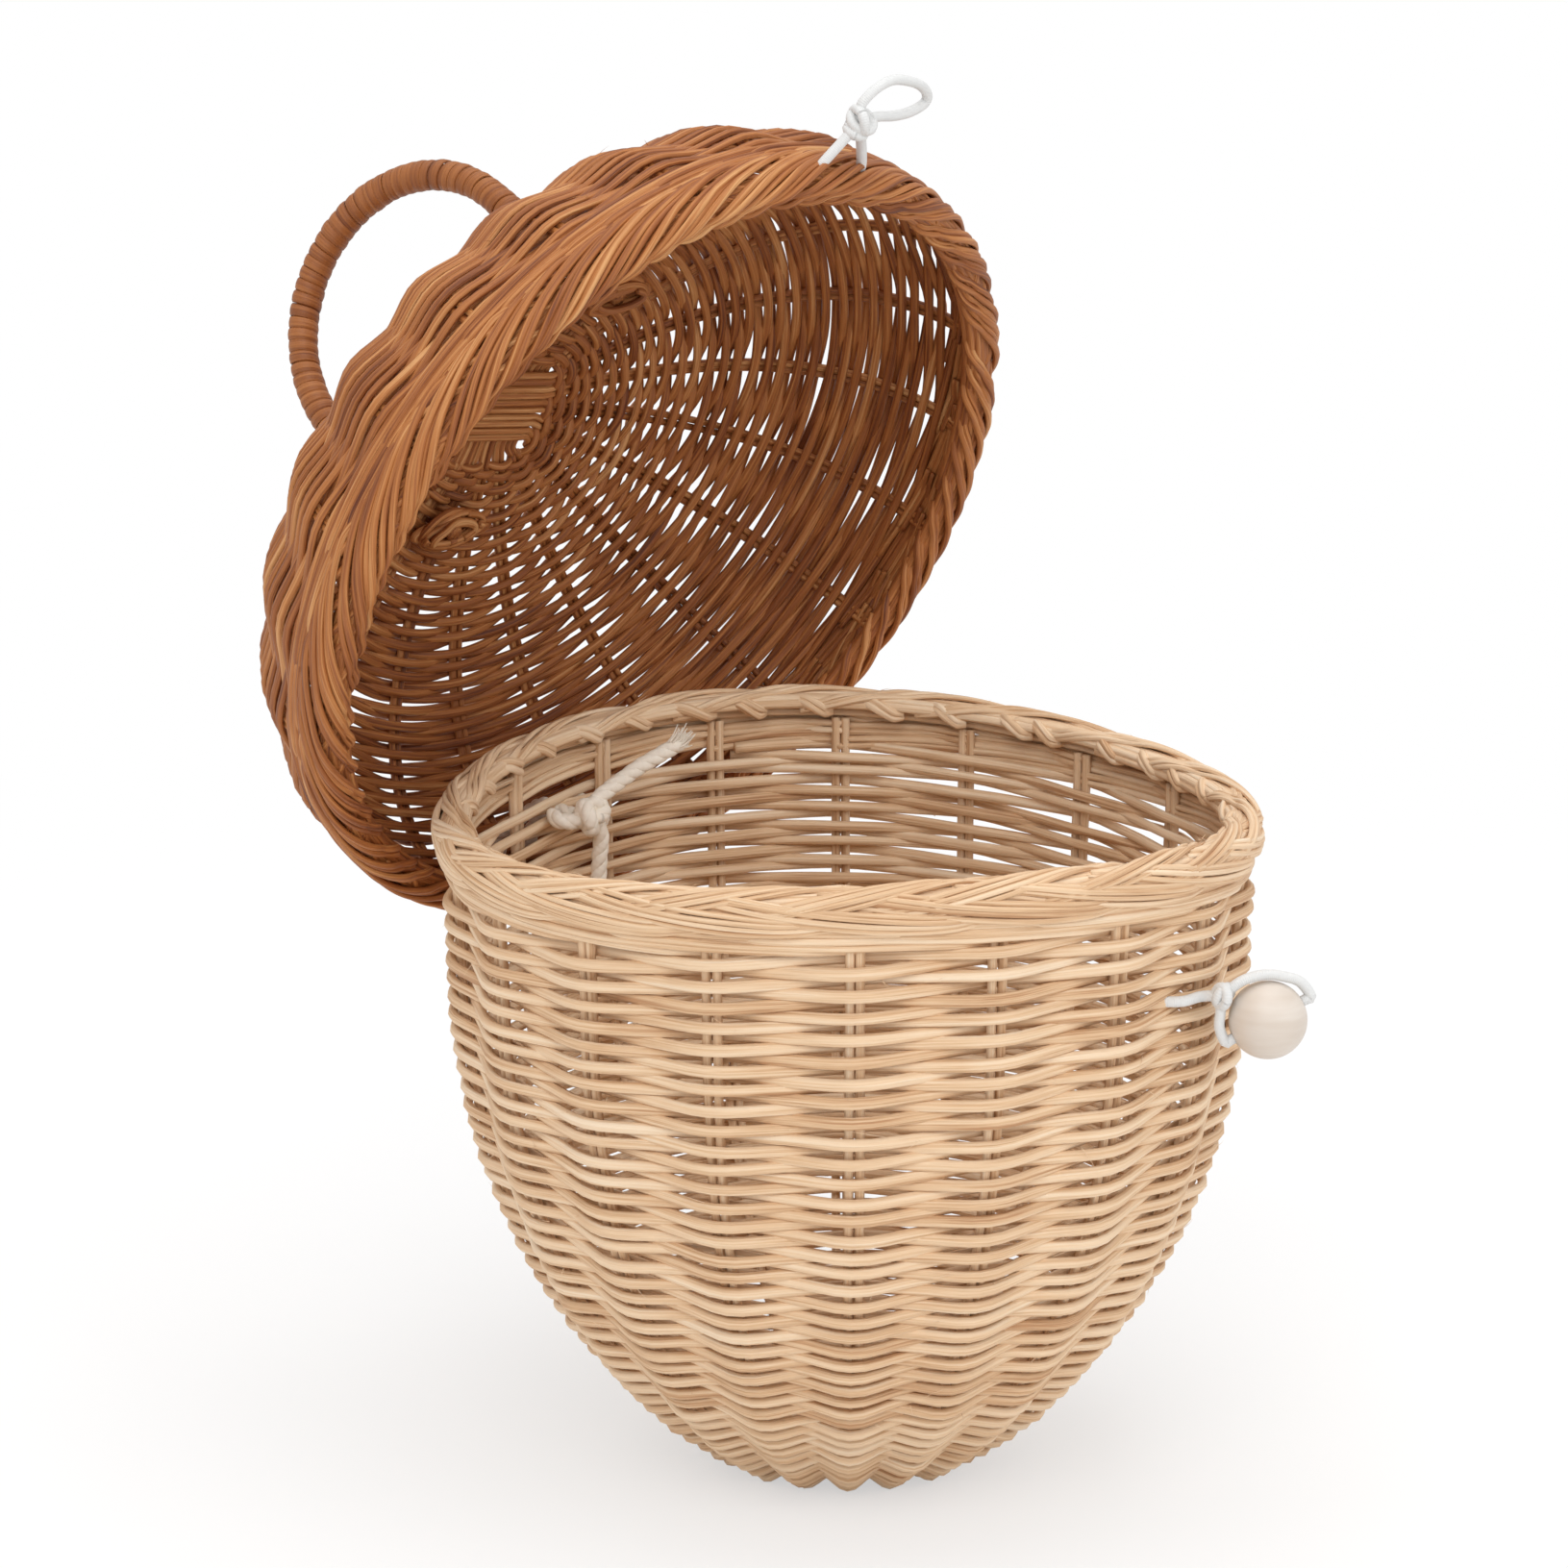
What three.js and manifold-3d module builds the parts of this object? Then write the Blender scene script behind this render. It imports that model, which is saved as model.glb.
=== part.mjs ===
// A woven rattan storage basket shaped like an acorn: a natural cane body, a stained domed lid that
// hangs open on a cotton tie, a wrapped loop handle, and a bead and elastic loop that hold the lid shut.
// Millimetres, +Z up. The origin is the middle of the flat base, on the floor. The lid opens towards +Y.
import * as THREE from "three";
import { mergeVertices } from "three/addons/utils/BufferGeometryUtils.js";
import Module from "manifold-3d";

const wasm = await Module();
wasm.setup();

// Body of the basket
const rimHeight = 178; // floor to the middle of the rolled border
const bodyRadius = 105.4; // outside of the wall at its widest
const baseRadius = 33.5; // flat ring that the basket stands on
const bellyDrop = 30.5; // how far the widest place lies below the border
const sideRoundness = 1.62; // power of the radius in the outline
const footRoundness = 2.16; // power of the height in the outline
const rimFlare = 1.2; // how far the wall leans out above its widest place
const bodyWall = 7.5; // depth of the weave, stakes and weavers together
const bodyLobe = 0.95; // how far the wall bulges over each stake
const bodyHollow = 1.9; // how far it draws in between two stakes
const rimInset = 2.2; // middle of the rolled border, inside the widest place
const rimTubeRadius = 5.6;
const rimWave = 3.6; // hand-woven rim: two sides stand this much higher
const rimWaveAngle = 242; // degrees, direction of one high side
const waveStart = 0.45; // share of the rim height below which the wall is level
const bodyStakeAngle = 224.4; // degrees, direction of the first stake
const bodyStakes = 18;
const bodyCaneWidth = 2.5; // each stake is two canes side by side
const bodyCane = 2.6; // thickness of the body's canes
const bodyCrossRadius = 19; // the weave starts round the cross of canes
const bodyCrossPairs = [5, 4]; // pairs of canes each way, the lower ones first
const bodyWaleDepth = 5.8;

// Shared by body and lid
const gap = 0.3; // space between touching pieces
const waleHeight = 5.1; // band of long strands under each border

// Lid
const lidOverhang = 9.2; // middle of the lid's border, outside that of the body's
const lidTubeRadius = 5.8;
const domeOverhang = 5.4; // outside of the lid's wall, beyond the middle of its border
const domeHeight = 72; // from the middle of the lid's border to the top
const domeSidePower = 2.3;
const domeTopPower = 2.4;
const lidWall = 4;
const lidLobe = 0.9;
const lidHollow = 1.3;
const lidStakes = 22;
const lidCaneWidth = 2.2;
const lidCane = 2; // thickness of the lid's canes
const lidCrossRadius = 20;
const lidCrossPairs = [6, 5]; // the outer ones first
const lidWaleDepth = 3.2;
const lidSlotRows = 3; // openings between the stakes, for the gaps between the rows of cane
const lidSlotShare = 0.22; // their width, as a share of the space from stake to stake
const lidSlotHeight = 4;

// Hinge: the loose tie makes the lid turn about a line inside the wall
const openAngle = 65.2; // degrees
const hingeInside = 33; // from the widest place of the back wall inwards
const hingeDrop = 16.9; // below the middle of the body's border
const closedGap = 0.4; // between the two borders where they first touch

// Handle on top of the lid
const handleSpread = 39.6; // half the distance between the legs
const handleShift = 4.3; // how far the arch stands off the lid's middle, away from the first leg
const handleTop = 151; // from the lid's border to the middle of the arch
const handleLean = 2; // how far the top leans away from the first leg
const handleAngle = 114.6; // degrees, direction of the first leg
const handleCoreRadius = 2.4;
const wrapThickness = 1.2;
const wrapWidth = 4.2;
const wrapTurns = 38;
const legInside = 7; // how far each leg reaches through the weave
const lashRadius = 4.8;
const lashThickness = 1.7;
const lashStretch = 2.2; // how many times longer than wide each lashing is
const lashAngle = -7; // degrees, direction of its length

// Bead on its elastic, on the front of the body
const beadRadius = 10;
const beadHole = 1.8; // radius of the hole through the bead
const beadAngle = -76.5; // degrees, direction from the basket's middle
const beadGap = 7.1; // from the widest place of the wall to the bead, where the knot lies
const beadDrop = 38.6; // middle of the bead, below the middle of the body's border
const beadHoleAngle = -38.3; // degrees, direction that the hole points to, seen from above
const beadTilt = 27.4; // degrees that the hole rises that way
const elasticRadius = 1.4;
const elasticKnotRadius = 3.3;
const elasticExitAngle = -83.3; // degrees, where the elastic leaves the weave
const elasticExitRise = 5.4; // above the middle of the bead

// Elastic loop on the lid's border
const loopAngle = -80.4; // degrees, direction from the lid's middle
const loopKnotRadius = 4.4;

// Cotton tie that hinges the lid
const tieRadius = 2.2;
const tieKnotRadius = 5.6;
const tieKnotFlatness = 0.85; // the knot is pressed a little towards the wall
const tieDrop = 17.2; // below the middle of the body's border
const tieSide = -7; // how far the knot lies from the middle of the back wall
const tieHoles = [-8.4, 2.6]; // where the tie passes through the back wall, from its middle
const lidTieSpread = 6; // from the lid's rearmost stake to each of its own holes for the tie
const lidTieHeight = 15.2; // those holes, above the middle of the lid's border

// Facets
const bodySteps = 7;
const lidSteps = 6;
const ringSides = 8;
const cordSides = 6;
const crossFacets = 24;

// Places that follow from the sizes above
const rimRingRadius = bodyRadius - rimInset;
const lidRingRadius = rimRingRadius + lidOverhang;
const domeRadius = lidRingRadius + domeOverhang;
const hingeReach = bodyRadius - hingeInside;
const beadReach = bodyRadius + beadGap + beadRadius;
const beadHeight = rimHeight - beadDrop;
const elasticExitHeight = beadHeight + elasticExitRise;
const tieHeight = rimHeight - tieDrop;

const rad = THREE.MathUtils.degToRad;

// Materials
const finish = (color, roughness) => new THREE.MeshStandardMaterial({ color, roughness, metalness: 0 });
const naturalCane = finish(0xdcb98a, 0.6);
const stainedCane = finish(0xa8602a, 0.55);
const wrapCane = finish(0xb56c33, 0.5);
const paleWood = finish(0xe6cba4, 0.5);
const whiteElastic = finish(0xf2f2f0, 0.8);
const cotton = finish(0xe8dcc4, 0.9);

// A closed mesh from rings of equally many points. Joined end to start it is a ring-shaped solid,
// otherwise both ends are closed with a fan of triangles.
function loft(rings, endless) {
  const count = rings[0].length;
  const points = rings.flat();
  const faces = [];
  const bands = endless ? rings.length : rings.length - 1;
  for (let i = 0; i < bands; i++) {
    const low = i * count;
    const high = ((i + 1) % rings.length) * count;
    for (let j = 0; j < count; j++) {
      const next = (j + 1) % count;
      faces.push(low + j, low + next, high + next);
      faces.push(low + j, high + next, high + j);
    }
  }
  if (!endless) {
    const last = (rings.length - 1) * count;
    const middle = (ring) => ring.reduce((sum, p) => sum.add(p), new THREE.Vector3()).divideScalar(count);
    points.push(middle(rings[0]), middle(rings[rings.length - 1]));
    for (let j = 0; j < count; j++) {
      const next = (j + 1) % count;
      faces.push(points.length - 2, next, j);
      faces.push(points.length - 1, last + j, last + next);
    }
  }
  return facedOut(points, faces);
}

// Turns the faces round if they point inwards.
function facedOut(points, faces) {
  let volume = 0;
  for (let i = 0; i < faces.length; i += 3) {
    const [a, b, c] = [points[faces[i]], points[faces[i + 1]], points[faces[i + 2]]];
    volume += a.dot(new THREE.Vector3().crossVectors(b, c));
  }
  const order = volume < 0 ? [...faces].reverse() : faces;
  const shape = new THREE.BufferGeometry();
  shape.setAttribute("position", new THREE.Float32BufferAttribute(points.flatMap((p) => p.toArray()), 3));
  shape.setIndex(order);
  return shape;
}

// A tube along points, with a flat or round section, that keeps its twist small.
function tube(points, radius, sides, endless = false) {
  const rings = [];
  let side = new THREE.Vector3(0.31, 0.17, 0.93);
  points.forEach((point, i) => {
    const before = points[endless ? (i + points.length - 1) % points.length : Math.max(i - 1, 0)];
    const after = points[endless ? (i + 1) % points.length : Math.min(i + 1, points.length - 1)];
    const along = after.clone().sub(before).normalize();
    side = side.clone().addScaledVector(along, -side.dot(along)).normalize();
    const other = new THREE.Vector3().crossVectors(along, side);
    const ring = [];
    for (let k = 0; k < sides; k++) {
      const turn = (2 * Math.PI * k) / sides;
      const [a, b] = [radius * Math.cos(turn), radius * Math.sin(turn)];
      ring.push(point.clone().addScaledVector(side, a).addScaledVector(other, b));
    }
    rings.push(ring);
  });
  return loft(rings, endless);
}

// Points on a smooth curve through the given ones.
function smooth(points, steps, endless = false) {
  const curve = new THREE.CatmullRomCurve3(points, endless, "centripetal");
  const all = curve.getSpacedPoints(steps);
  return endless ? all.slice(0, -1) : all;
}

function solidOf(shape) {
  const bare = shape.clone();
  bare.deleteAttribute("normal");
  bare.deleteAttribute("uv");
  const merged = mergeVertices(bare, 1e-4);
  const vertProperties = merged.attributes.position.array;
  const triVerts = new Uint32Array(merged.index.array);
  return new wasm.Manifold(new wasm.Mesh({ numProp: 3, vertProperties, triVerts }));
}

function shapeOf(solid) {
  const mesh = solid.getMesh();
  const shape = new THREE.BufferGeometry();
  shape.setAttribute("position", new THREE.Float32BufferAttribute([...mesh.vertProperties], 3));
  shape.setIndex([...mesh.triVerts]);
  return shape;
}

const joined = (...shapes) => shapeOf(shapes.map(solidOf).reduce((all, next) => all.add(next)));

const pierced = (shape, holes) =>
  shapeOf(holes.reduce((solid, bore) => solid.subtract(solidOf(bore)), solidOf(shape)));

// A hole along Y, or along Z when upright, whose flats are as wide as the given radius.
function hole(middle, radius, depth, upright = false) {
  const corner = radius / Math.cos(Math.PI / ringSides);
  const bore = new THREE.CylinderGeometry(corner, corner, depth, ringSides);
  if (upright) bore.rotateX(Math.PI / 2);
  return bore.translate(...middle);
}

const polar = (radius, angle, z) => new THREE.Vector3(radius * Math.cos(angle), radius * Math.sin(angle), z);

// Outline points get a normal that keeps the wall's depth true at each bend. The end at the cross is
// cut upright, the end under the border level.
function withNormals(outline) {
  const turned = Math.sign(outline[outline.length - 1].y - outline[0].y);
  return outline.map((point, i) => {
    if (i === 0) return { r: point.x, z: point.y, normal: new THREE.Vector2(0, -turned) };
    if (i === outline.length - 1) return { r: point.x, z: point.y, normal: new THREE.Vector2(1, 0) };
    const sides = [
      point.clone().sub(outline[i - 1]).normalize(),
      outline[i + 1].clone().sub(point).normalize(),
    ];
    const outward = sides.map((s) => new THREE.Vector2(s.y, -s.x).multiplyScalar(turned));
    const sum = outward.reduce((a, b) => a.clone().add(b)).normalize();
    return { r: point.x, z: point.y, normal: sum.clone().divideScalar(sum.dot(outward[0])) };
  });
}

const inwards = (point, depth) => new THREE.Vector2(point.r, point.z).addScaledVector(point.normal, -depth);

// The wall of body or lid: outside it bulges over each stake and draws in between two, inside it has a
// groove for each stake.
function wovenWall(path, { wall, cane, caneWidth, lobe, hollow, stakes, start, bend }) {
  const stakeStep = (2 * Math.PI) / stakes;
  const half = caneWidth + gap;
  const groove = cane + 2 * gap;
  const across = [[-3 / 8, -hollow], [-1 / 8, lobe], [1 / 8, lobe], [3 / 8, -hollow]];
  const outer = path.map((point, i) => {
    const ring = [];
    for (let k = 0; k < stakes; k++) {
      for (const [share, bulge] of across) {
        const radius = i === 0 ? point.r : point.r + bulge;
        ring.push(polar(radius, start + (k + share) * stakeStep, point.z));
      }
    }
    return ring;
  });
  const inner = path.map((point) => {
    const face = inwards(point, wall);
    const floor = inwards(point, wall - groove);
    const ring = [];
    for (let k = 0; k < stakes; k++) {
      const angle = start + k * stakeStep;
      const edge = new THREE.Vector2(Math.sqrt(face.x * face.x - half * half), face.y);
      for (const [corner, side] of [[edge, -half], [floor, -half], [floor, half], [edge, half]]) {
        const place = polar(corner.x, angle, corner.y);
        ring.push(place.addScaledVector(polar(1, angle + Math.PI / 2, 0), side));
      }
    }
    return ring;
  });
  const rings = [...outer, ...inner.reverse()];
  return loft(rings.map((ring) => ring.map(bend)), true);
}

// One stake in its groove, from the edge of the cross to the underside of the border.
function stake(path, { wall, cane, caneWidth, stakes, start, bend }, number, tip) {
  const angle = start + (2 * Math.PI * number) / stakes;
  const sideways = polar(1, angle + Math.PI / 2, 0);
  const shifted = path.map((point) => [inwards(point, wall - gap), inwards(point, wall - gap - cane)]);
  shifted[0].forEach((point) => (point.x += gap));
  const last = shifted[shifted.length - 1];
  shifted.push(last.map((point) => new THREE.Vector2(point.x, tip)));
  const rings = shifted.map(([inside, outside]) =>
    [[inside, -1], [outside, -1], [outside, 1], [inside, 1]].map(([point, side]) =>
      bend(polar(point.x, angle, point.y).addScaledVector(sideways, side * caneWidth)),
    ),
  );
  return loft(rings, false);
}

// A ring with the given section, a list of radius and height pairs. It has a corner over every stake.
function hoop(section, { stakes, start, bend }) {
  const rings = [];
  for (let k = 0; k < 2 * stakes; k++) {
    const angle = start + (Math.PI * k) / stakes;
    rings.push(section.map((point) => bend(polar(point.x, angle, point.y))));
  }
  return loft(rings, true);
}

const roundSection = (radius, height, tubeRadius) =>
  Array.from({ length: ringSides }, (_, k) => {
    const turn = (2 * Math.PI * (k + 0.5)) / ringSides;
    return new THREE.Vector2(radius + tubeRadius * Math.cos(turn), height + tubeRadius * Math.sin(turn));
  });

function waleSection(inner, depth, bottom, height) {
  const corner = depth / 4;
  return [
    [0, 0],
    [depth - corner, 0],
    [depth, corner],
    [depth, height - corner],
    [depth - corner, height],
    [0, height],
  ].map(([out, up]) => new THREE.Vector2(inner + out, bottom + up));
}

// A row of canes side by side across the middle, as one bar that runs along the given direction, with a
// rounded top over each pair. Its ends follow the round edge of the weave.
function crossBundle(pairs, { cane, caneWidth, crossRadius }, bottom, angle) {
  const width = pairs * (2 * caneWidth + gap);
  const outline = new THREE.Shape();
  outline.moveTo(-width / 2, 0);
  outline.lineTo(width / 2, 0);
  for (let k = pairs - 1; k >= 0; k--) {
    const left = -width / 2 + (k * width) / pairs;
    const right = left + width / pairs;
    outline.lineTo(right, cane * 0.7);
    outline.lineTo((left + right) / 2 + caneWidth / 2, cane);
    outline.lineTo((left + right) / 2 - caneWidth / 2, cane);
  }
  outline.lineTo(-width / 2, cane * 0.7);
  const bar = new THREE.ExtrudeGeometry(outline, { depth: 2 * crossRadius, bevelEnabled: false });
  bar.translate(0, 0, -crossRadius);
  bar.rotateX(Math.PI / 2);
  const edge = new THREE.CylinderGeometry(crossRadius - gap, crossRadius - gap, 4 * cane, crossFacets);
  edge.rotateX(Math.PI / 2);
  const shape = shapeOf(solidOf(bar).intersect(solidOf(edge)));
  shape.rotateZ(angle - Math.PI / 2);
  shape.translate(0, 0, bottom);
  return shape;
}

const basket = new THREE.Group();
const hinge = new THREE.Group();
const lid = new THREE.Group();

function add(group, name, shape, material) {
  const mesh = new THREE.Mesh(shape, material);
  mesh.name = name;
  group.add(mesh);
  return mesh;
}

// Body outline: from the edge of the cross over the flat base and up the wall.
const bellyHeight = rimHeight - bellyDrop;
const footShare = (1 - (baseRadius / bodyRadius) ** sideRoundness) ** (1 / footRoundness);
const bodyDepth = bellyHeight / footShare;
const bodyWaleTop = rimHeight - rimTubeRadius - gap;
const bodyWaleBottom = bodyWaleTop - waleHeight;
const bodyTop = bodyWaleBottom - gap;
const flareAt = (z) => bodyRadius + (rimFlare * (z - bellyHeight)) / bellyDrop;
const bodyOutline = [new THREE.Vector2(bodyCrossRadius, 0)];
const footTurn = Math.asin(footShare ** (footRoundness / 2));
for (let i = 0; i <= bodySteps; i++) {
  const turn = footTurn * (1 - i / bodySteps);
  const radius = bodyRadius * Math.cos(turn) ** (2 / sideRoundness);
  const depth = bodyDepth * Math.sin(turn) ** (2 / footRoundness);
  bodyOutline.push(new THREE.Vector2(radius, bellyHeight - depth));
}
bodyOutline.push(new THREE.Vector2(flareAt(bodyTop), bodyTop));
const bodyPath = withNormals(bodyOutline);

// The hand-woven rim rises and falls; everything near it follows.
function rimBend(point) {
  const share = THREE.MathUtils.smoothstep(point.z / rimHeight, waveStart, 1);
  const angle = Math.atan2(point.y, point.x);
  point.z += rimWave * share * Math.cos(2 * (angle - rad(rimWaveAngle)));
  return point;
}
const level = (point) => point;

const bodyWeave = {
  wall: bodyWall,
  cane: bodyCane,
  caneWidth: bodyCaneWidth,
  crossRadius: bodyCrossRadius,
  lobe: bodyLobe,
  hollow: bodyHollow,
  stakes: bodyStakes,
  start: rad(bodyStakeAngle),
  bend: rimBend,
};
// The cotton tie passes through two holes in the back wall, between two stakes.
const wallHoles = tieHoles.map((x) =>
  hole([x, flareAt(tieHeight), tieHeight], tieRadius + gap, 4 * bodyWall),
);
add(basket, "body_weave", pierced(wovenWall(bodyPath, bodyWeave), wallHoles), naturalCane);
for (let k = 0; k < bodyStakes; k++) {
  add(basket, `body_stake_${k + 1}`, stake(bodyPath, bodyWeave, k, bodyWaleTop), naturalCane);
}
const bodyCrossAngle = bodyWeave.start;
const lowCross = 0;
const highCross = bodyCane + gap;
const [lowPairs, highPairs] = bodyCrossPairs;
add(basket, "body_cross_lower", crossBundle(lowPairs, bodyWeave, lowCross, bodyCrossAngle), naturalCane);
const bodyCrossTurned = bodyCrossAngle + Math.PI / 2;
add(basket, "body_cross_upper", crossBundle(highPairs, bodyWeave, highCross, bodyCrossTurned), naturalCane);
const bodyWaleInner = inwards(bodyPath[bodyPath.length - 1], bodyWall - bodyCane - 2 * gap).x;
const bodyWaleShape = waleSection(bodyWaleInner, bodyWaleDepth, bodyWaleBottom, waleHeight);
add(basket, "body_wale", hoop(bodyWaleShape, bodyWeave), naturalCane);
const bodyBorderShape = roundSection(rimRingRadius, rimHeight, rimTubeRadius);
add(basket, "body_border", hoop(bodyBorderShape, bodyWeave), naturalCane);

// The closed lid rests with its border on the high sides of the body's border. Built closed about the
// hinge line, then turned open.
const reachBetween = rimTubeRadius + lidTubeRadius + closedGap;
const closedLift = Math.sqrt(reachBetween ** 2 - (lidRingRadius - rimRingRadius) ** 2) + rimWave;
hinge.position.set(0, hingeReach, rimHeight - hingeDrop);
hinge.rotation.x = -rad(openAngle);
lid.position.set(0, -hingeReach, hingeDrop + closedLift);
hinge.add(lid);
basket.add(hinge);

// Lid outline: from the edge of the cross over the dome and down to the wale. Heights from the border.
const lidWaleBottom = lidTubeRadius + gap;
const lidWaleTop = lidWaleBottom + waleHeight;
const lidBottom = lidWaleTop + gap;
const topTurn = Math.acos((lidCrossRadius / domeRadius) ** (domeSidePower / 2));
const lowTurn = Math.asin((lidBottom / domeHeight) ** (domeTopPower / 2));
const lidOutline = [];
for (let i = 0; i <= lidSteps; i++) {
  const turn = topTurn + ((lowTurn - topTurn) * i) / lidSteps;
  lidOutline.push(
    new THREE.Vector2(
      domeRadius * Math.cos(turn) ** (2 / domeSidePower),
      domeHeight * Math.sin(turn) ** (2 / domeTopPower),
    ),
  );
}
const lidPath = withNormals(lidOutline);
const lidWeave = {
  wall: lidWall,
  cane: lidCane,
  caneWidth: lidCaneWidth,
  crossRadius: lidCrossRadius,
  lobe: lidLobe,
  hollow: lidHollow,
  stakes: lidStakes,
  start: rad(handleAngle) + Math.PI / lidStakes,
  bend: level,
};

// Handle: an arch of cane whose legs pass through the dome between two stakes.
const domeAt = (radius) => domeHeight * (1 - (radius / domeRadius) ** domeSidePower) ** (1 / domeTopPower);
const archSide = polar(1, rad(handleAngle), 0);
const archMiddle = archSide.clone().multiplyScalar(-handleShift);
const legs = [1, -1].map((side) => archMiddle.clone().addScaledVector(archSide, side * handleSpread));
const legTop = handleTop - handleSpread;
const legHeights = legs.map((leg) => domeAt(leg.length()));
const legOut = Math.max(...legHeights) + lidLobe + wrapWidth / 2 + gap;
function archPoint(length) {
  const straight = legTop - legOut;
  const bow = Math.PI * handleSpread;
  const turn = THREE.MathUtils.clamp((length - straight) / handleSpread, 0, Math.PI);
  const past = Math.max(length - straight - bow, 0);
  const height = length < straight ? legOut + length : legTop + handleSpread * Math.sin(turn) - past;
  const side = handleSpread * Math.cos(turn) - handleLean * Math.sin(turn);
  return archMiddle.clone().addScaledVector(archSide, side).setZ(height);
}
const archLength = 2 * (legTop - legOut) + Math.PI * handleSpread;
const corePoints = [legs[0].clone().setZ(legHeights[0] - lidWall - legInside)];
const coreSteps = 20;
for (let i = 0; i <= coreSteps; i++) corePoints.push(archPoint((archLength * i) / coreSteps));
corePoints.push(legs[1].clone().setZ(legHeights[1] - lidWall - legInside));
add(lid, "handle_core", tube(corePoints, handleCoreRadius, ringSides), stainedCane);

// The wrapping strand: one flat cane wound round the core from leg to leg.
const wrapMiddle = handleCoreRadius + gap + wrapThickness / 2;
const curlSteps = 6;
const curlSides = 5;
const wrapRings = [];
const wrapReach = wrapMiddle / Math.cos(Math.PI / curlSteps);
const archNormal = new THREE.Vector3().crossVectors(archSide, new THREE.Vector3(0, 0, 1));
for (let i = 0; i <= wrapTurns * curlSteps; i++) {
  const turn = (2 * Math.PI * i) / curlSteps;
  const length = (archLength * i) / (wrapTurns * curlSteps);
  const middle = archPoint(length);
  const before = archPoint(Math.max(length - wrapThickness / 2, 0));
  const along = archPoint(Math.min(length + wrapThickness / 2, archLength)).sub(before).normalize();
  const inPlane = new THREE.Vector3().crossVectors(along, archNormal);
  const out = inPlane.multiplyScalar(Math.cos(turn)).addScaledVector(archNormal, Math.sin(turn));
  const ring = [];
  for (let k = 0; k < curlSides; k++) {
    const place = (2 * Math.PI * k) / curlSides;
    ring.push(
      middle
        .clone()
        .addScaledVector(out, wrapReach + (wrapThickness / 2) * Math.sin(place))
        .addScaledVector(along, (wrapWidth / 2) * Math.cos(place)),
    );
  }
  wrapRings.push(ring);
}
add(lid, "handle_wrap", loft(wrapRings, false), wrapCane);

// Least space between one turn of the wrapping and the next, measured on its points.
let leastGap = Infinity;
wrapRings.forEach((ring, i) => {
  for (let j = i + curlSteps - 1; j <= i + curlSteps + 1 && j < wrapRings.length; j++) {
    for (const a of ring) {
      for (const b of wrapRings[j]) leastGap = Math.min(leastGap, a.distanceTo(b));
    }
  }
});
console.log(`handle_wrap: ${wrapTurns} turns, least gap to itself ${leastGap.toFixed(2)} mm`);

// The dome has a hole for each leg, and one for the tie on each side of its rearmost stake.
const legHoles = legs.map((leg, k) =>
  hole([leg.x, leg.y, legHeights[k] - lidWall / 2], handleCoreRadius + gap, 4 * lidWall, true),
);
const lidTieHoles = [-1, 1].map((side) =>
  hole([side * lidTieSpread, domeRadius, lidTieHeight], tieRadius + gap, 6 * lidWall),
);

// Openings midway between the stakes, upright to the wall, in the lowest bands of the dome.
const stakeStep = (2 * Math.PI) / lidStakes;
const lidSlots = [];
for (let i = lidSteps - lidSlotRows; i < lidSteps; i++) {
  const [above, below] = [lidOutline[i], lidOutline[i + 1]];
  const middle = above.clone().add(below).divideScalar(2);
  const slope = Math.atan2(below.x - above.x, above.y - below.y);
  const width = lidSlotShare * stakeStep * middle.x;
  for (let k = 0; k < lidStakes; k++) {
    const slot = new THREE.BoxGeometry(4 * lidWall, width, lidSlotHeight);
    slot.rotateY(-slope);
    slot.translate(middle.x, 0, middle.y);
    lidSlots.push(slot.rotateZ(lidWeave.start + (k + 0.5) * stakeStep));
  }
}
const dome = pierced(wovenWall(lidPath, lidWeave), [...legHoles, ...lidTieHoles, ...lidSlots]);
add(lid, "lid_weave", dome, stainedCane);
for (let k = 0; k < lidStakes; k++) {
  add(lid, `lid_stake_${k + 1}`, stake(lidPath, lidWeave, k, lidWaleBottom), stainedCane);
}
const lidCrossAngle = lidWeave.start - 1.5 * stakeStep;
const outerCross = domeAt(lidCrossRadius) - lidCane;
const innerCross = outerCross - gap - lidCane;
const [outerPairs, innerPairs] = lidCrossPairs;
add(lid, "lid_cross_outer", crossBundle(outerPairs, lidWeave, outerCross, lidCrossAngle), stainedCane);
const lidCrossTurned = lidCrossAngle + Math.PI / 2;
add(lid, "lid_cross_inner", crossBundle(innerPairs, lidWeave, innerCross, lidCrossTurned), stainedCane);
const lidWaleInner = inwards(lidPath[lidPath.length - 1], lidWall - lidCane - 2 * gap).x;
const lidWaleShape = waleSection(lidWaleInner, lidWaleDepth, lidWaleBottom, waleHeight);
add(lid, "lid_wale", hoop(lidWaleShape, lidWeave), stainedCane);
add(lid, "lid_border", hoop(roundSection(lidRingRadius, 0, lidTubeRadius), lidWeave), stainedCane);

// Lashing round each leg's end inside the dome, below the lowest place of the dome over it.
legs.forEach((leg, k) => {
  const knot = new THREE.TorusGeometry(lashRadius, lashThickness, 6, 12);
  knot.scale(lashStretch, 1, 1);
  knot.rotateZ(rad(lashAngle));
  const reach = polar(lashStretch * (lashRadius + lashThickness), rad(lashAngle), 0);
  const ends = [leg.clone().add(reach), leg.clone().sub(reach)];
  const lowest = domeAt(Math.max(...ends.map((end) => end.length())));
  knot.translate(leg.x, leg.y, lowest - lidWall - lashThickness - 1);
  add(lid, `handle_lashing_${k + 1}`, knot, stainedCane);
});

// Cords that swing start in a ball, so that they turn in place.
function roundEnd(place) {
  const ball = new THREE.SphereGeometry(elasticRadius, 6, 5);
  return ball.translate(...place.toArray());
}

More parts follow.
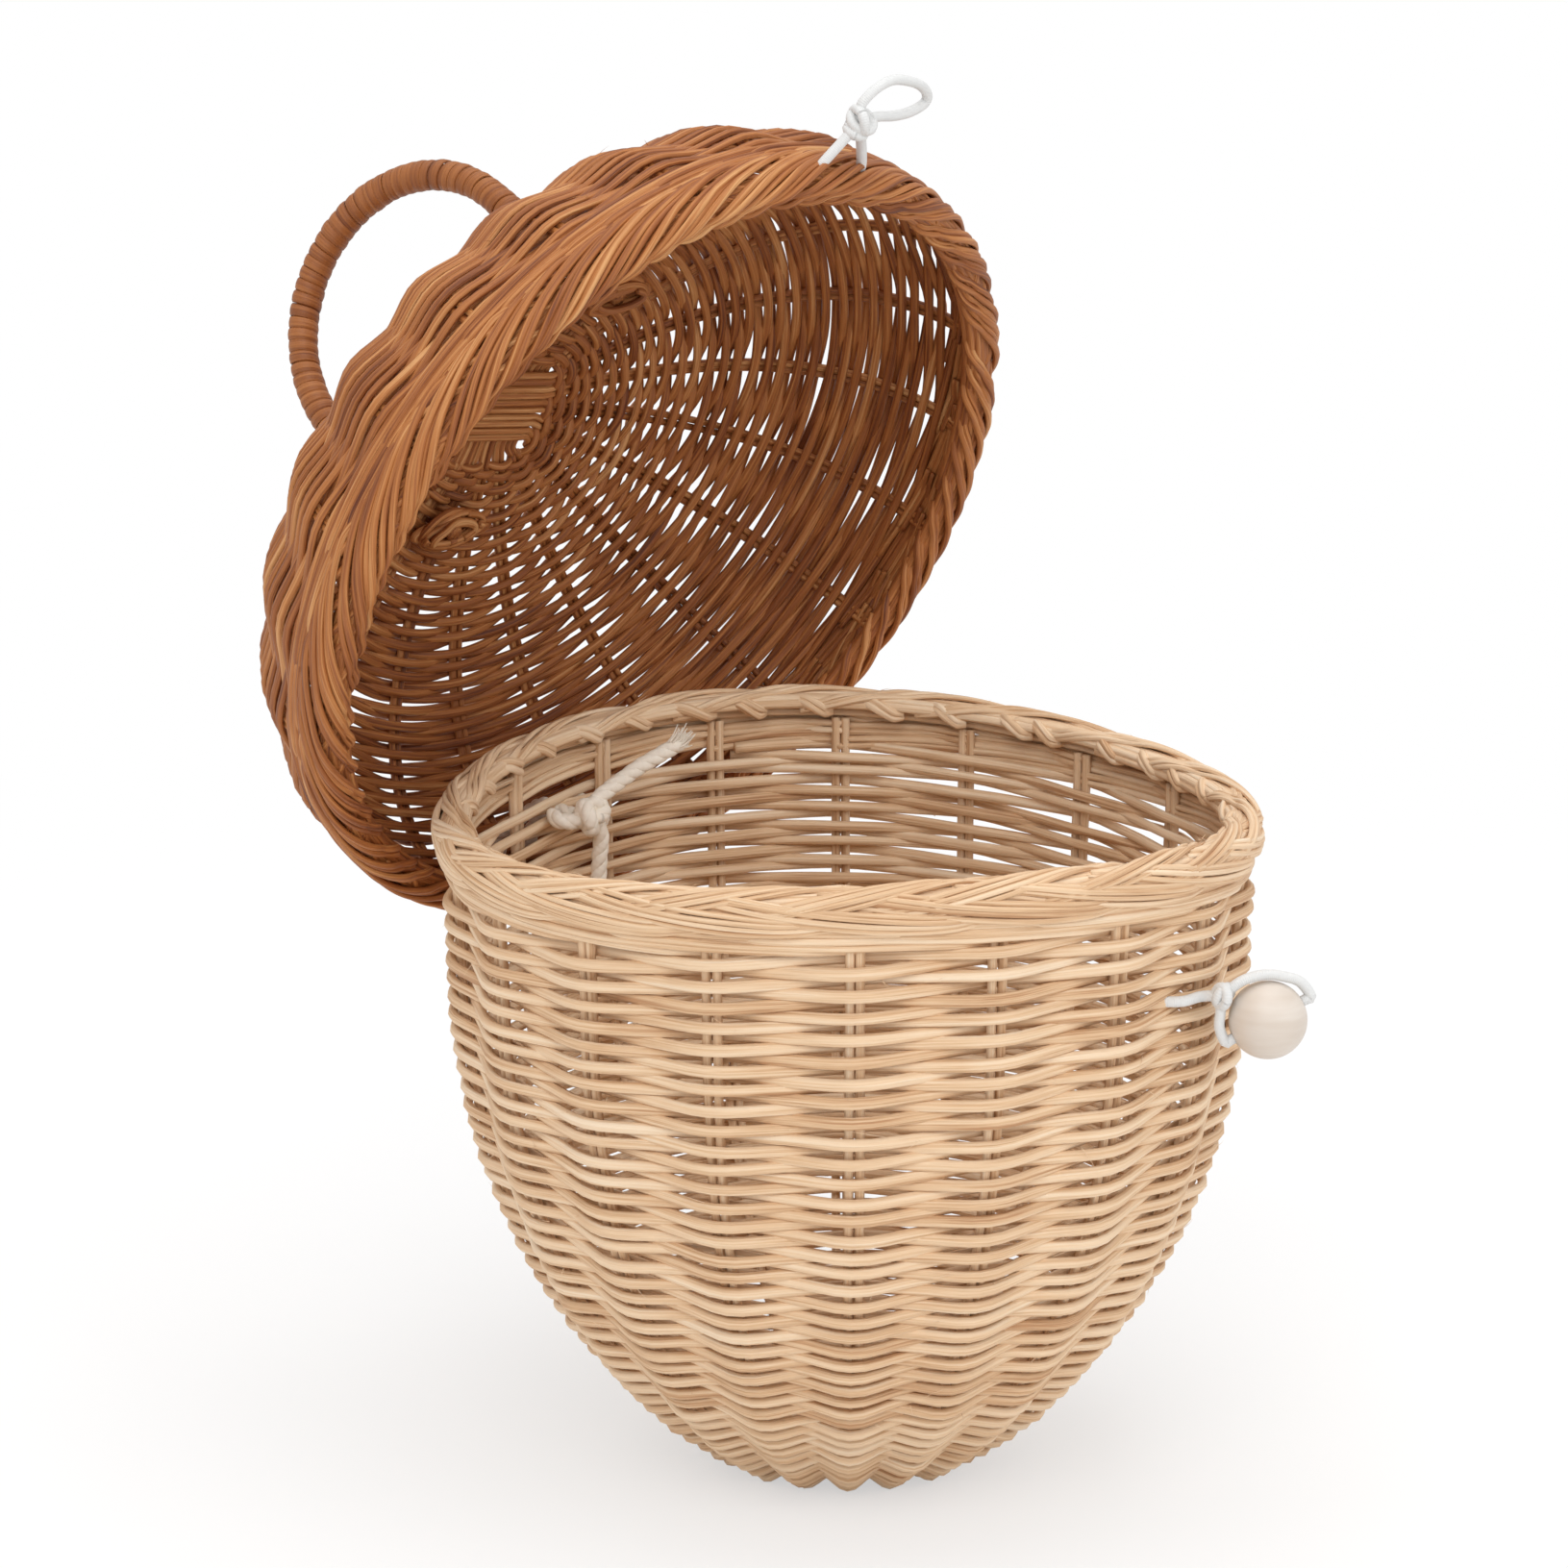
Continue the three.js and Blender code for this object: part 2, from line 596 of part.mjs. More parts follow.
// Elastic loop on the front of the lid's border: two legs, a knot and the loop, one piece of cord.
const lidBorderFlat = lidRingRadius + lidTubeRadius * Math.cos(Math.PI / ringSides);
const loopPlace = polar(lidBorderFlat + gap, rad(loopAngle), 0);
const loopOut = polar(1, rad(loopAngle), 0);
const loopSide = polar(1, rad(loopAngle) + Math.PI / 2, 0);
const onLoop = (side, out, up) =>
  loopPlace.clone().addScaledVector(loopSide, side).addScaledVector(loopOut, out).setZ(up);
const loopKnotSide = -3.6; // the knot, aside from the middle of the loop's place
const loopKnotReach = 12.1; // and out from the border
const loopRoute = [
  onLoop(loopKnotSide, loopKnotReach, 0.6),
  onLoop(-4.9, 17, 0.9),
  onLoop(-2.2, 21.1, 1),
  onLoop(2.2, 24, 1),
  onLoop(8, 24.4, 0.8),
  onLoop(14.6, 23.4, 0.7),
  onLoop(18.8, 21, 0.6),
  onLoop(19, 18.4, 0.5),
  onLoop(14.6, 15.7, 0.4),
  onLoop(8.6, 14.3, 0.2),
  onLoop(0.8, 14.1, 0),
  onLoop(loopKnotSide, loopKnotReach, -0.3),
];
const loopKnot = new THREE.SphereGeometry(loopKnotRadius, 9, 6);
loopKnot.scale(1, 1, 0.9);
loopKnot.translate(...onLoop(loopKnotSide, loopKnotReach, 0).toArray());
const loopLegs = [-10.4, 4.8].map((side) => {
  const middle = onLoop((side + loopKnotSide) / 2, loopKnotReach / 2, 0);
  const route = [onLoop(side, elasticRadius, 0), middle, onLoop(loopKnotSide, loopKnotReach, 0)];
  return joined(tube(smooth(route, 4), elasticRadius, cordSides), roundEnd(route[0]));
});
const loopCord = tube(smooth(loopRoute, 28), elasticRadius, cordSides);
add(lid, "lid_loop", joined(loopCord, loopKnot, ...loopLegs), whiteElastic);

// Bead: a turned wooden ball with a hole, and the elastic that holds it to the wall.
const beadOut = polar(1, rad(beadHoleAngle), 0);
const beadSide = polar(1, rad(beadHoleAngle) + Math.PI / 2, 0);
const beadPlace = polar(beadReach, rad(beadAngle), beadHeight);
const beadOutline = [];
const poleAngle = Math.asin(beadHole / beadRadius);
const beadSteps = 10;
for (let i = 0; i <= beadSteps; i++) {
  const turn = poleAngle + ((Math.PI - 2 * poleAngle) * i) / beadSteps;
  beadOutline.push(new THREE.Vector2(beadRadius * Math.sin(turn), -beadRadius * Math.cos(turn)));
}
beadOutline.push(beadOutline[0].clone());
const beadShape = new THREE.LatheGeometry(beadOutline, 18);
beadShape.rotateX(Math.PI / 2);
const bead = add(basket, "bead", shapeOf(solidOf(beadShape)), paleWood);
bead.position.copy(beadPlace);
bead.rotation.set(0, 0, rad(beadHoleAngle));
bead.rotateY(Math.PI / 2 - rad(beadTilt));

const atBead = (out, up) => beadPlace.clone().addScaledVector(beadOut, out).add(new THREE.Vector3(0, 0, up));
const holeOut = Math.cos(rad(beadTilt));
const holeUp = Math.sin(rad(beadTilt));
const onHole = (along) => atBead(holeOut * along, holeUp * along);
const mouth = beadRadius + elasticRadius / 2;
// Places round the bead: turned up from the way that its hole points, clear of its surface, to one side.
function roundBead(turn, clear, side) {
  const reach = beadRadius + clear;
  return atBead(reach * Math.cos(rad(turn)), reach * Math.sin(rad(turn))).addScaledVector(beadSide, side);
}
const beadClear = elasticRadius + gap + 0.2;
const knotPlace = roundBead(150, elasticKnotRadius + gap, 0);
const elasticRoute = [
  knotPlace,
  roundBead(127, beadClear + 0.9, -0.4),
  roundBead(109, beadClear + 0.3, -0.2),
  roundBead(90, beadClear, 0),
  roundBead(70, beadClear, 0),
  roundBead(50, beadClear + 0.8, 0),
  onHole(mouth + 1.7),
  onHole(mouth),
  onHole(beadRadius / 2),
  onHole(0),
  onHole(-beadRadius / 2),
  onHole(-mouth),
  onHole(-mouth - 1.5),
  roundBead(187, beadClear + 0.8, -0.4),
  roundBead(169, beadClear + 1, -0.4),
  knotPlace,
];
const exitReach = flareAt(elasticExitHeight) - bodyHollow + gap + elasticRadius;
const exitPlace = polar(exitReach, rad(elasticExitAngle), elasticExitHeight);
const exitAbove = polar(exitReach + 2 * elasticRadius, rad(elasticExitAngle), elasticExitHeight);
const beadKnot = new THREE.SphereGeometry(elasticKnotRadius, 9, 6);
beadKnot.translate(...knotPlace.toArray());
const beadStem = tube(smooth([exitPlace, exitAbove, knotPlace], 6), elasticRadius, cordSides);
const beadCord = tube(smooth(elasticRoute, 36), elasticRadius, cordSides);
add(basket, "bead_elastic", joined(beadCord, beadKnot, beadStem, roundEnd(exitPlace)), whiteElastic);

// Cotton tie: a knot inside the back wall with two tails, and the strand that holds the lid outside.
const innerWall = flareAt(tieHeight) - bodyWall;
const tieAt = (side, inside, up) => new THREE.Vector3(tieSide + side, innerWall - inside, tieHeight + up);
const tieKnot = new THREE.SphereGeometry(tieKnotRadius, 12, 9);
tieKnot.scale(1.05, tieKnotFlatness, 1);
const knotInside = tieKnotRadius + 1.5 * tieRadius;
tieKnot.translate(...tieAt(0, knotInside, 0).toArray());
const dropRoute = [
  tieAt(0, 8.4, 0),
  tieAt(3.4, 8, -6),
  tieAt(3.6, 7.4, -12),
  tieAt(3.8, 6.8, -19),
  tieAt(3.4, 6.6, -26),
];
const dropTail = tube(smooth(dropRoute, 8), tieRadius, cordSides);
add(basket, "hinge_tie_knot", joined(tieKnot, dropTail), cotton);
const tailRoute = [
  tieAt(5.4, knotInside + 0.3, 3.3),
  tieAt(10, 9.4, 5.8),
  tieAt(16, 11, 9.4),
  tieAt(22.6, 13.6, 13),
  tieAt(28.6, 16, 16.2),
];
add(basket, "hinge_tie_tail_up", tube(smooth(tailRoute, 10), tieRadius, cordSides), cotton);
// Places on the open lid, from the middle of its border: along its axis, and towards the hinge.
const openLid = (x, along, behind) =>
  new THREE.Vector3(x, behind, along).add(lid.position).applyEuler(hinge.rotation).add(hinge.position);
const atWall = (x, inside, up) => new THREE.Vector3(x, flareAt(tieHeight) - inside, tieHeight + up);
const [leftHole, rightHole] = tieHoles;
const domeIn = domeRadius - lidWall;
const linkRoute = [
  atWall(rightHole, bodyWall + tieRadius + 1, 0),
  atWall(rightHole, bodyWall / 2, 0),
  atWall(rightHole, -bodyLobe - tieRadius, 0),
  openLid(lidTieSpread - 1, lidTieHeight, domeIn - 9),
  openLid(lidTieSpread, lidTieHeight, domeIn - 2.5),
  openLid(lidTieSpread, lidTieHeight, domeIn + lidWall / 2),
  openLid(lidTieSpread, lidTieHeight, domeRadius + lidLobe + 0.6),
  openLid(lidTieSpread / 2, lidTieHeight, domeRadius + lidLobe + tieRadius + 1),
  openLid(-lidTieSpread / 2, lidTieHeight, domeRadius + lidLobe + tieRadius + 1),
  openLid(-lidTieSpread, lidTieHeight, domeRadius + lidLobe + 0.6),
  openLid(-lidTieSpread, lidTieHeight, domeIn + lidWall / 2),
  openLid(-lidTieSpread, lidTieHeight, domeIn - 2.5),
  openLid(-lidTieSpread - 1, lidTieHeight, domeIn - 9),
  atWall(leftHole, -bodyLobe - tieRadius, 0),
  atWall(leftHole, bodyWall / 2, 0),
  atWall(leftHole, bodyWall + knotInside - tieKnotFlatness * tieKnotRadius - gap, 0),
];
add(basket, "hinge_tie_link", tube(smooth(linkRoute, 48), tieRadius, cordSides), cotton);

export default basket;
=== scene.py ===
"""A woven rattan storage basket shaped like an acorn, its stained lid hanging open on a cotton tie.

Every cane is swept as a mesh of its own: two weavers spiral over and under the stakes of the body, two
more over those of the lid. Lengths are millimetres until a mesh is made, apart from those of the camera, the
lamps and the materials, which are metres. The frame is that of the CAD model.
"""
import math
from types import SimpleNamespace

import bpy
import numpy as np
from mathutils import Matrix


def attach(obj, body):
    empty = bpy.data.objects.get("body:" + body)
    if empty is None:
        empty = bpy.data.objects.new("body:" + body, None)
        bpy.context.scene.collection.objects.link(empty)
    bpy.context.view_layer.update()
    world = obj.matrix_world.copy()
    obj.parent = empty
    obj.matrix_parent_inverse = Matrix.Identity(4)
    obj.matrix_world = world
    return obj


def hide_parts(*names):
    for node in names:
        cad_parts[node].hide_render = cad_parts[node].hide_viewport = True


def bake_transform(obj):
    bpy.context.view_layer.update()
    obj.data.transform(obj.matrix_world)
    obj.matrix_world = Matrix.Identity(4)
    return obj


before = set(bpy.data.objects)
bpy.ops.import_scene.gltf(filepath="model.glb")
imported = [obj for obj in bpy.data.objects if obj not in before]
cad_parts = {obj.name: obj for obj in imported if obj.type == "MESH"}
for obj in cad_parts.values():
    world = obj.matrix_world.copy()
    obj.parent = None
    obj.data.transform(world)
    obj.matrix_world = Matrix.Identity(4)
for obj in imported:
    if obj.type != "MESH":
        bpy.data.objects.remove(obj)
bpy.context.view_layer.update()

MM = 0.001
TAU = 2 * math.pi
UP = np.array([0, 0, 1.0])
rng = np.random.default_rng(11)

# Body: border, outline of the wall, stakes and wale, as in the CAD model
RIM_Z, RIM_R, RIM_TUBE = 178, 103.2, 5.6
BODY_R, BASE_R, BELLY_Z = 105.4, 33.5, 147.5
SIDE_POWER, FOOT_POWER = 1.62, 2.16
RIM_FLARE = 1.2 / 30.5
RIM_WAVE, WAVE_ANGLE, WAVE_START = 3.6, math.radians(242), 0.45
BODY_STAKES, BODY_START = 18, math.radians(224.4)
BODY_TOP, STAKE_TOP = 166.7, 174.5
WALE_R, WALE_Z = 105.2, 169.75

# Lid: border, dome, stakes and wales, in the lid's own frame, and how it hangs open
LID_R, LID_TUBE = 112.4, 5.8
DOME_R, DOME_H, DOME_SIDE, DOME_TOP = 117.8, 72, 2.3, 2.4
LID_STAKES = 22
HANDLE_ANGLE = math.radians(114.6)
LID_START = HANDLE_ANGLE + math.pi / LID_STAKES
LID_LOW, LID_STAKE_END = 11.5, 3.0
LID_WALES = (116.4, 8.4), (116.3, 10.9)
OPEN = math.radians(65.2)
LID_MIDDLE = np.array([0, 67.35, 238.52])

# Both crosses: how far their canes reach, and where the weave starts
CROSS_R = 20
WEAVE_R = 14.5

# Sides of a cane, of a cord and of a hair
CANE_SIDES, CORD_SIDES, HAIR_SIDES = 8, 10, 4


# Camera
SENSOR = 36
PHOTO_WIDTH, FOCAL_PIXELS = 1631, 5613
CAMERA_PLACE = (-0.9953, -0.9379, 0.5385)
CAMERA_DOWN, CAMERA_TURN = 14.5, -46


def make_camera():
    data = bpy.data.cameras.new("camera")
    data.sensor_width = SENSOR
    data.lens = SENSOR * FOCAL_PIXELS / PHOTO_WIDTH
    camera = bpy.data.objects.new("camera", data)
    camera.location = CAMERA_PLACE
    camera.rotation_euler = (math.radians(90 - CAMERA_DOWN), 0, math.radians(CAMERA_TURN))
    bpy.context.scene.collection.objects.link(camera)
    bpy.context.scene.camera = camera


make_camera()


# Small helpers
def unit(v):
    return v / np.maximum(np.linalg.norm(v, axis=-1, keepdims=True), 1e-12)


def smoothstep(x, low=0.0, high=1.0):
    t = np.clip((np.asarray(x, float) - low) / (high - low), 0, 1)
    return t * t * (3 - 2 * t)


def polar(r, angle, z):
    r, angle, z = np.broadcast_arrays(np.asarray(r, float), angle, z)
    return np.stack([r * np.cos(angle), r * np.sin(angle), z], -1)


def wander(count, scale, size):
    """A smooth random line of `count` values that changes over about `scale` of them."""
    knots = rng.normal(0, size, int(count / scale) + 3)
    x = np.arange(count) / scale
    low = x.astype(int)
    t = smoothstep(x - low)
    return knots[low] * (1 - t) + knots[low + 1] * t


def curve(points, step):
    """A smooth path through the points, with a point about every `step`."""
    p = np.asarray(points, float)
    p = np.vstack([2 * p[0] - p[1], p, 2 * p[-1] - p[-2]])
    t = np.linspace(0, 1, 24, endpoint=False)[:, None]
    parts = []
    for a, b, c, d in zip(p, p[1:], p[2:], p[3:]):
        square, cube = 2 * a - 5 * b + 4 * c - d, 3 * b - a - 3 * c + d
        parts.append(0.5 * (2 * b + (c - a) * t + square * t**2 + cube * t**3))
    return even(np.vstack([*parts, p[-2:-1]]), step)


def run_of(path):
    """The distance along the path at each of its points."""
    return np.concatenate([[0], np.cumsum(np.linalg.norm(np.diff(path, axis=0), axis=1))])


def even(path, step):
    """The same path with evenly spaced points."""
    run = run_of(path)
    at = np.linspace(0, run[-1], max(int(run[-1] / step), 3) + 1)
    return np.stack([np.interp(at, run, path[:, k]) for k in range(3)], -1)


def heading(path, endless):
    """Unit vectors along a path."""
    return unit(np.roll(path, -1, 0) - np.roll(path, 1, 0) if endless else np.gradient(path, axis=0))


def across(path, endless):
    """Two unit vectors across a path at each point, with little twist."""
    along = heading(path, endless)
    side = np.empty_like(path)
    last = np.array([0.31, 0.17, 0.93])
    for i, a in enumerate(along):
        last = last - a * (last @ a)
        last /= np.linalg.norm(last)
        side[i] = last
    return side, np.cross(along, side)


def add_mesh(name, points, faces, material):
    """A smooth mesh object from points in millimetres."""
    mesh = bpy.data.meshes.new(name)
    mesh.from_pydata((np.asarray(points, float) * MM).tolist(), [], faces)
    mesh.shade_smooth()
    mesh.materials.append(material)
    obj = bpy.data.objects.new(name, mesh)
    bpy.context.scene.collection.objects.link(obj)
    return obj


class Shape:
    """Tubes gathered into one mesh. Each point keeps its place on its own strand for the material."""

    def __init__(self):
        self.points, self.strand, self.tone, self.faces, self.count = [], [], [], [], 0

    def tube(self, path, side, thick, tall, sides=CANE_SIDES, endless=False, tone=None):
        """A strand along path. `thick` is half its size along `side`, `tall` half its size across it."""
        n = len(path)
        along = heading(path, endless)
        side = unit(side - along * (side * along).sum(-1, keepdims=True))
        up = np.cross(along, side)
        thick, tall = np.broadcast_to(thick, n), np.broadcast_to(tall, n)
        turn = TAU * np.arange(sides) / sides
        a = thick[:, None] * np.cos(turn)
        b = tall[:, None] * np.sin(turn)
        rings = path[:, None] + side[:, None] * a[..., None] + up[:, None] * b[..., None]
        run = run_of(path) + rng.uniform(0, 5000)
        strand = np.stack([np.broadcast_to(run[:, None], a.shape), a, b], -1)
        tone = rng.uniform() if tone is None else tone
        self.points.append(rings.reshape(-1, 3))
        self.strand.append(strand.reshape(-1, 3))
        self.tone.append(np.repeat(np.broadcast_to(tone, n), sides))
        i = np.arange(n if endless else n - 1)[:, None]
        j = np.arange(sides)[None]
        k = (j + 1) % sides
        low, high = self.count + i * sides, self.count + ((i + 1) % n) * sides
        corners = np.stack([low + k, high + k, high + j, low + j], -1)
        self.faces.extend(corners.reshape(-1, 4).tolist())
        if not endless:
            self.faces.append([self.count + x for x in range(sides)][::-1])
            self.faces.append([self.count + (n - 1) * sides + x for x in range(sides)])
        self.count += n * sides

    def cord(self, path, radius, plies=0, pitch=8.0, endless=False):
        """A round cord, or a cord of twisted plies."""
        side, other = across(path, endless)
        if not plies:
            self.tube(path, side, radius, radius, CORD_SIDES, endless)
        for k in range(plies):
            turn = TAU * (run_of(path) / pitch + k / plies)[:, None]
            away = side * np.cos(turn) + other * np.sin(turn)
            self.tube(path + away * radius * 0.42, away, radius * 0.58, radius * 0.68, CORD_SIDES, endless)

    def piece(self, name, material, body, slot, nodes, place=None, ride=True):
        points = np.concatenate(self.points)
        if place is not None:
            points = place(points)
        obj = add_mesh(name, points, self.faces, material)
        strand = obj.data.attributes.new("strand", "FLOAT_VECTOR", "POINT")
        strand.data.foreach_set("vector", (np.concatenate(self.strand) * MM).astype(np.float32).ravel())
        tone = obj.data.attributes.new("tone", "FLOAT", "POINT")
        tone.data.foreach_set("value", np.concatenate(self.tone).astype(np.float32))
        if ride:
            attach(obj, body)
        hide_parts(*nodes)
        return obj


# Materials
class Nodes:
    """The shader nodes of a material or of the world."""

    def __init__(self, owner, output="ShaderNodeOutputMaterial"):
        self.owner = owner
        owner.use_nodes = True
        self.tree = owner.node_tree
        self.tree.nodes.clear()
        self.out = self.tree.nodes.new(output)

    def add(self, kind, inputs=None, **settings):
        node = self.tree.nodes.new(kind)
        for key, value in settings.items():
            setattr(node, key, value)
        for key, value in (inputs or {}).items():
            if isinstance(value, bpy.types.NodeSocket):
                self.tree.links.new(value, node.inputs[key])
            else:
                node.inputs[key].default_value = value
        return node

    def maths(self, operation, a, b=0.0, c=0.0, clamp=False):
        return self.add("ShaderNodeMath", {0: a, 1: b, 2: c}, operation=operation, use_clamp=clamp).outputs[0]

    def stretched(self, place, *scale):
        return self.add("ShaderNodeVectorMath", {0: place, 1: scale}, operation="MULTIPLY").outputs[0]

    def strand_place(self):
        """Along the strand, and the two ways across it."""
        return self.add("ShaderNodeAttribute", attribute_name="strand").outputs["Vector"]

    def noise(self, vector, scale=1.0, detail=2.0, roughness=0.5):
        inputs = {"Vector": vector, "Scale": scale, "Detail": detail, "Roughness": roughness}
        return self.add("ShaderNodeTexNoise", inputs).outputs["Fac"]

    def object_place(self):
        return self.add("ShaderNodeTexCoord").outputs["Object"]

    def ramp(self, share, stops):
        """The colour at a share, from stops of a share and a colour."""
        node = self.add("ShaderNodeValToRGB", {"Fac": share})
        elements = node.color_ramp.elements
        elements.remove(elements[1])
        for k, (at, colour) in enumerate(stops):
            element = elements[0] if k == 0 else elements.new(at)
            element.position = at
            element.color = (*colour, 1)
        return node.outputs["Color"]

    def surface(self, colour, roughness, height, distance, strength, gloss):
        bump = self.add("ShaderNodeBump", {"Height": height, "Distance": distance, "Strength": strength})
        looks = {"Base Color": colour, "Roughness": roughness, "Normal": bump.outputs["Normal"]}
        shader = self.add("ShaderNodeBsdfPrincipled", {**looks, "Specular IOR Level": gloss})
        self.show(shader)
        return self.owner

    def show(self, shader):
        self.tree.links.new(shader.outputs[0], self.out.inputs["Surface"])


def cane_material(name, stops, rough, tone_share, streak):
    """Split cane: long fibres, streaks of lighter and darker skin, and each strand its own tone."""
    n = Nodes(bpy.data.materials.new(name))
    fibre = n.noise(n.stretched(n.strand_place(), 26, 1500, 1500), 1.0, 3.0, 0.65)
    band = n.noise(n.stretched(n.strand_place(), 9, 420, 420))
    length = n.noise(n.stretched(n.strand_place(), 16, 60, 60))
    blotch = n.noise(n.object_place(), 38.0, 3.0, 0.6)
    tone = n.add("ShaderNodeAttribute", attribute_name="tone").outputs["Fac"]
    total = n.maths("MULTIPLY_ADD", fibre, 1.3 * streak, -0.65 * streak)
    total = n.maths("MULTIPLY_ADD", band, 0.8 * streak, n.maths("ADD", total, -0.4 * streak))
    total = n.maths("MULTIPLY_ADD", length, 0.5, n.maths("ADD", total, -0.25))
    total = n.maths("MULTIPLY_ADD", blotch, 0.3, n.maths("ADD", total, -0.15))
    total = n.maths("MULTIPLY_ADD", tone, tone_share, n.maths("ADD", total, 0.5 - tone_share / 2), True)
    height = n.maths("MULTIPLY_ADD", fibre, 1.0, band)
    roughness = n.maths("MULTIPLY_ADD", fibre, 0.25, rough - 0.12)
    return n.surface(n.ramp(total, stops), roughness, height, distance=0.00045, strength=0.8, gloss=0.4)


natural = cane_material(
    "natural cane",
    [
        (0.0, (0.48, 0.25, 0.12)),
        (0.3, (0.69, 0.45, 0.26)),
        (0.6, (0.81, 0.585, 0.38)),
        (1.0, (0.88, 0.705, 0.515)),
    ],
    rough=0.62,
    tone_share=0.34,
    streak=1.3,
)
stained = cane_material(
    "stained cane",
    [
        (0.0, (0.12, 0.027, 0.006)),
        (0.3, (0.30, 0.092, 0.022)),
        (0.65, (0.46, 0.170, 0.045)),
        (1.0, (0.66, 0.34, 0.135)),
    ],
    rough=0.55,
    tone_share=0.36,
    streak=1.3,
)
wrapping = cane_material(
    "wrapping cane",
    [
        (0.0, (0.18, 0.047, 0.010)),
        (0.35, (0.32, 0.104, 0.024)),
        (0.65, (0.42, 0.155, 0.043)),
        (1.0, (0.58, 0.28, 0.105)),
    ],
    rough=0.5,
    tone_share=0.4,
    streak=1.0,
)


def wood_material():
    n = Nodes(bpy.data.materials.new("pale wood"))
    place = n.object_place()
    grain = n.noise(n.stretched(place, 60, 60, 420), 1.0, 3.0)
    soft = n.noise(place, 60.0)
    total = n.maths("MULTIPLY_ADD", grain, 0.7, n.maths("MULTIPLY", soft, 0.3), True)
    colour = n.ramp(total, [(0.3, (0.62, 0.53, 0.45)), (0.7, (0.70, 0.63, 0.56))])
    return n.surface(colour, 0.42, grain, distance=0.0001, strength=0.15, gloss=0.5)


def cord_material(name, low, high, ribs, rough, rib_height, fuzzy):
    """A covered cord: fine ribs round it, and soft changes of colour."""
    n = Nodes(bpy.data.materials.new(name))
    parts = n.add("ShaderNodeSeparateXYZ", {0: n.strand_place()})
    rib = n.maths("SINE", n.maths("MULTIPLY", parts.outputs["X"], ribs))
    fuzz = n.noise(n.stretched(n.strand_place(), 900, 2200, 2200))
    soft = n.noise(n.object_place(), 120.0)
    total = n.maths("MULTIPLY_ADD", fuzz, 0.5, n.maths("MULTIPLY", soft, 0.5), True)
    colour = n.add("ShaderNodeMix", {"Factor": total, "A": (*low, 1), "B": (*high, 1)}, data_type="RGBA")
    height = n.maths("MULTIPLY_ADD", fuzz, fuzzy, n.maths("MULTIPLY", rib, 0.35))
    return n.surface(colour.outputs[2], rough, height, distance=rib_height, strength=0.7, gloss=0.25)


pale_wood = wood_material()
elastic = cord_material(
    "elastic",
    low=(0.66, 0.665, 0.66),
    high=(0.78, 0.78, 0.77),
    ribs=12500,
    rough=0.75,
    rib_height=0.00012,
    fuzzy=0.25,
)
cotton = cord_material(
    "cotton",
    low=(0.86, 0.77, 0.64),
    high=(0.96, 0.90, 0.81),
    ribs=5200,
    rough=0.9,
    rib_height=0.0001,
    fuzzy=0.8,
)


# Places
def body_place(points):
    """The hand-woven rim rises and falls."""
    share = smoothstep(points[:, 2] / RIM_Z, WAVE_START, 1)
    angle = np.arctan2(points[:, 1], points[:, 0])
    moved = points.copy()
    moved[:, 2] += RIM_WAVE * share * np.cos(2 * (angle - WAVE_ANGLE))
    return moved


def lid_place(points):
    """From the lid's own frame, middle of its border and dome upwards, to its open place."""
    x, y, z = points.T
    c, s = math.cos(OPEN), math.sin(OPEN)
    return np.stack([x, y * c + z * s, z * c - y * s], -1) + LID_MIDDLE


class Outline:
    """The outer face of a wall from the cross to the border, by distance along it."""

    def __init__(self, r, z, turned):
        run = np.concatenate([[0], np.cumsum(np.hypot(np.diff(r), np.diff(z)))])
        self.length = run[-1]
        self.s = np.linspace(0, run[-1], 900)
        self.r, self.z = np.interp(self.s, run, r), np.interp(self.s, run, z)
        dr, dz = np.gradient(self.r), np.gradient(self.z)
        pad = np.pad(np.stack([dz, -dr]) * turned, ((0, 0), (15, 15)), mode="edge")
        soft = np.stack([np.convolve(row, np.ones(31) / 31, "valid") for row in pad])
        self.normal = soft / np.hypot(*soft)

    def at(self, s, depth):
        """Radius, height and the two parts of the outward direction, `depth` below the face."""
        nr, nz = np.interp(s, self.s, self.normal[0]), np.interp(s, self.s, self.normal[1])
        return np.interp(s, self.s, self.r) - nr * depth, np.interp(s, self.s, self.z) - nz * depth, nr, nz


def body_outline():
    share = (1 - (BASE_R / BODY_R) ** SIDE_POWER) ** (1 / FOOT_POWER)
    turn = np.linspace(math.asin(share ** (FOOT_POWER / 2)), 0, 400)
    r = BODY_R * np.cos(turn) ** (2 / SIDE_POWER)
    z = BELLY_Z - BELLY_Z / share * np.sin(turn) ** (2 / FOOT_POWER)
    flat = np.linspace(WEAVE_R, BASE_R, 40)[:-1]
    top = np.linspace(BELLY_Z, BODY_TOP, 40)[1:]
    flare = BODY_R + RIM_FLARE * (top - BELLY_Z)
    return Outline(np.concatenate([flat, r, flare]), np.concatenate([0 * flat, z, top]), 1)


def dome_z(r):
    return DOME_H * (1 - (r / DOME_R) ** DOME_SIDE) ** (1 / DOME_TOP)


def dome_outline():
    first = math.acos((WEAVE_R / DOME_R) ** (DOME_SIDE / 2))
    last = math.asin((LID_LOW / DOME_H) ** (DOME_TOP / 2))
    turn = np.linspace(first, last, 600)
    return Outline(DOME_R * np.cos(turn) ** (2 / DOME_SIDE), DOME_H * np.sin(turn) ** (2 / DOME_TOP), -1)


def spun(path, angle):
    """The path turned about the upright axis."""
    x, y, z = path.T
    c, s = math.cos(angle), math.sin(angle)
    return np.stack([x * c - y * s, x * s + y * c, z], -1)


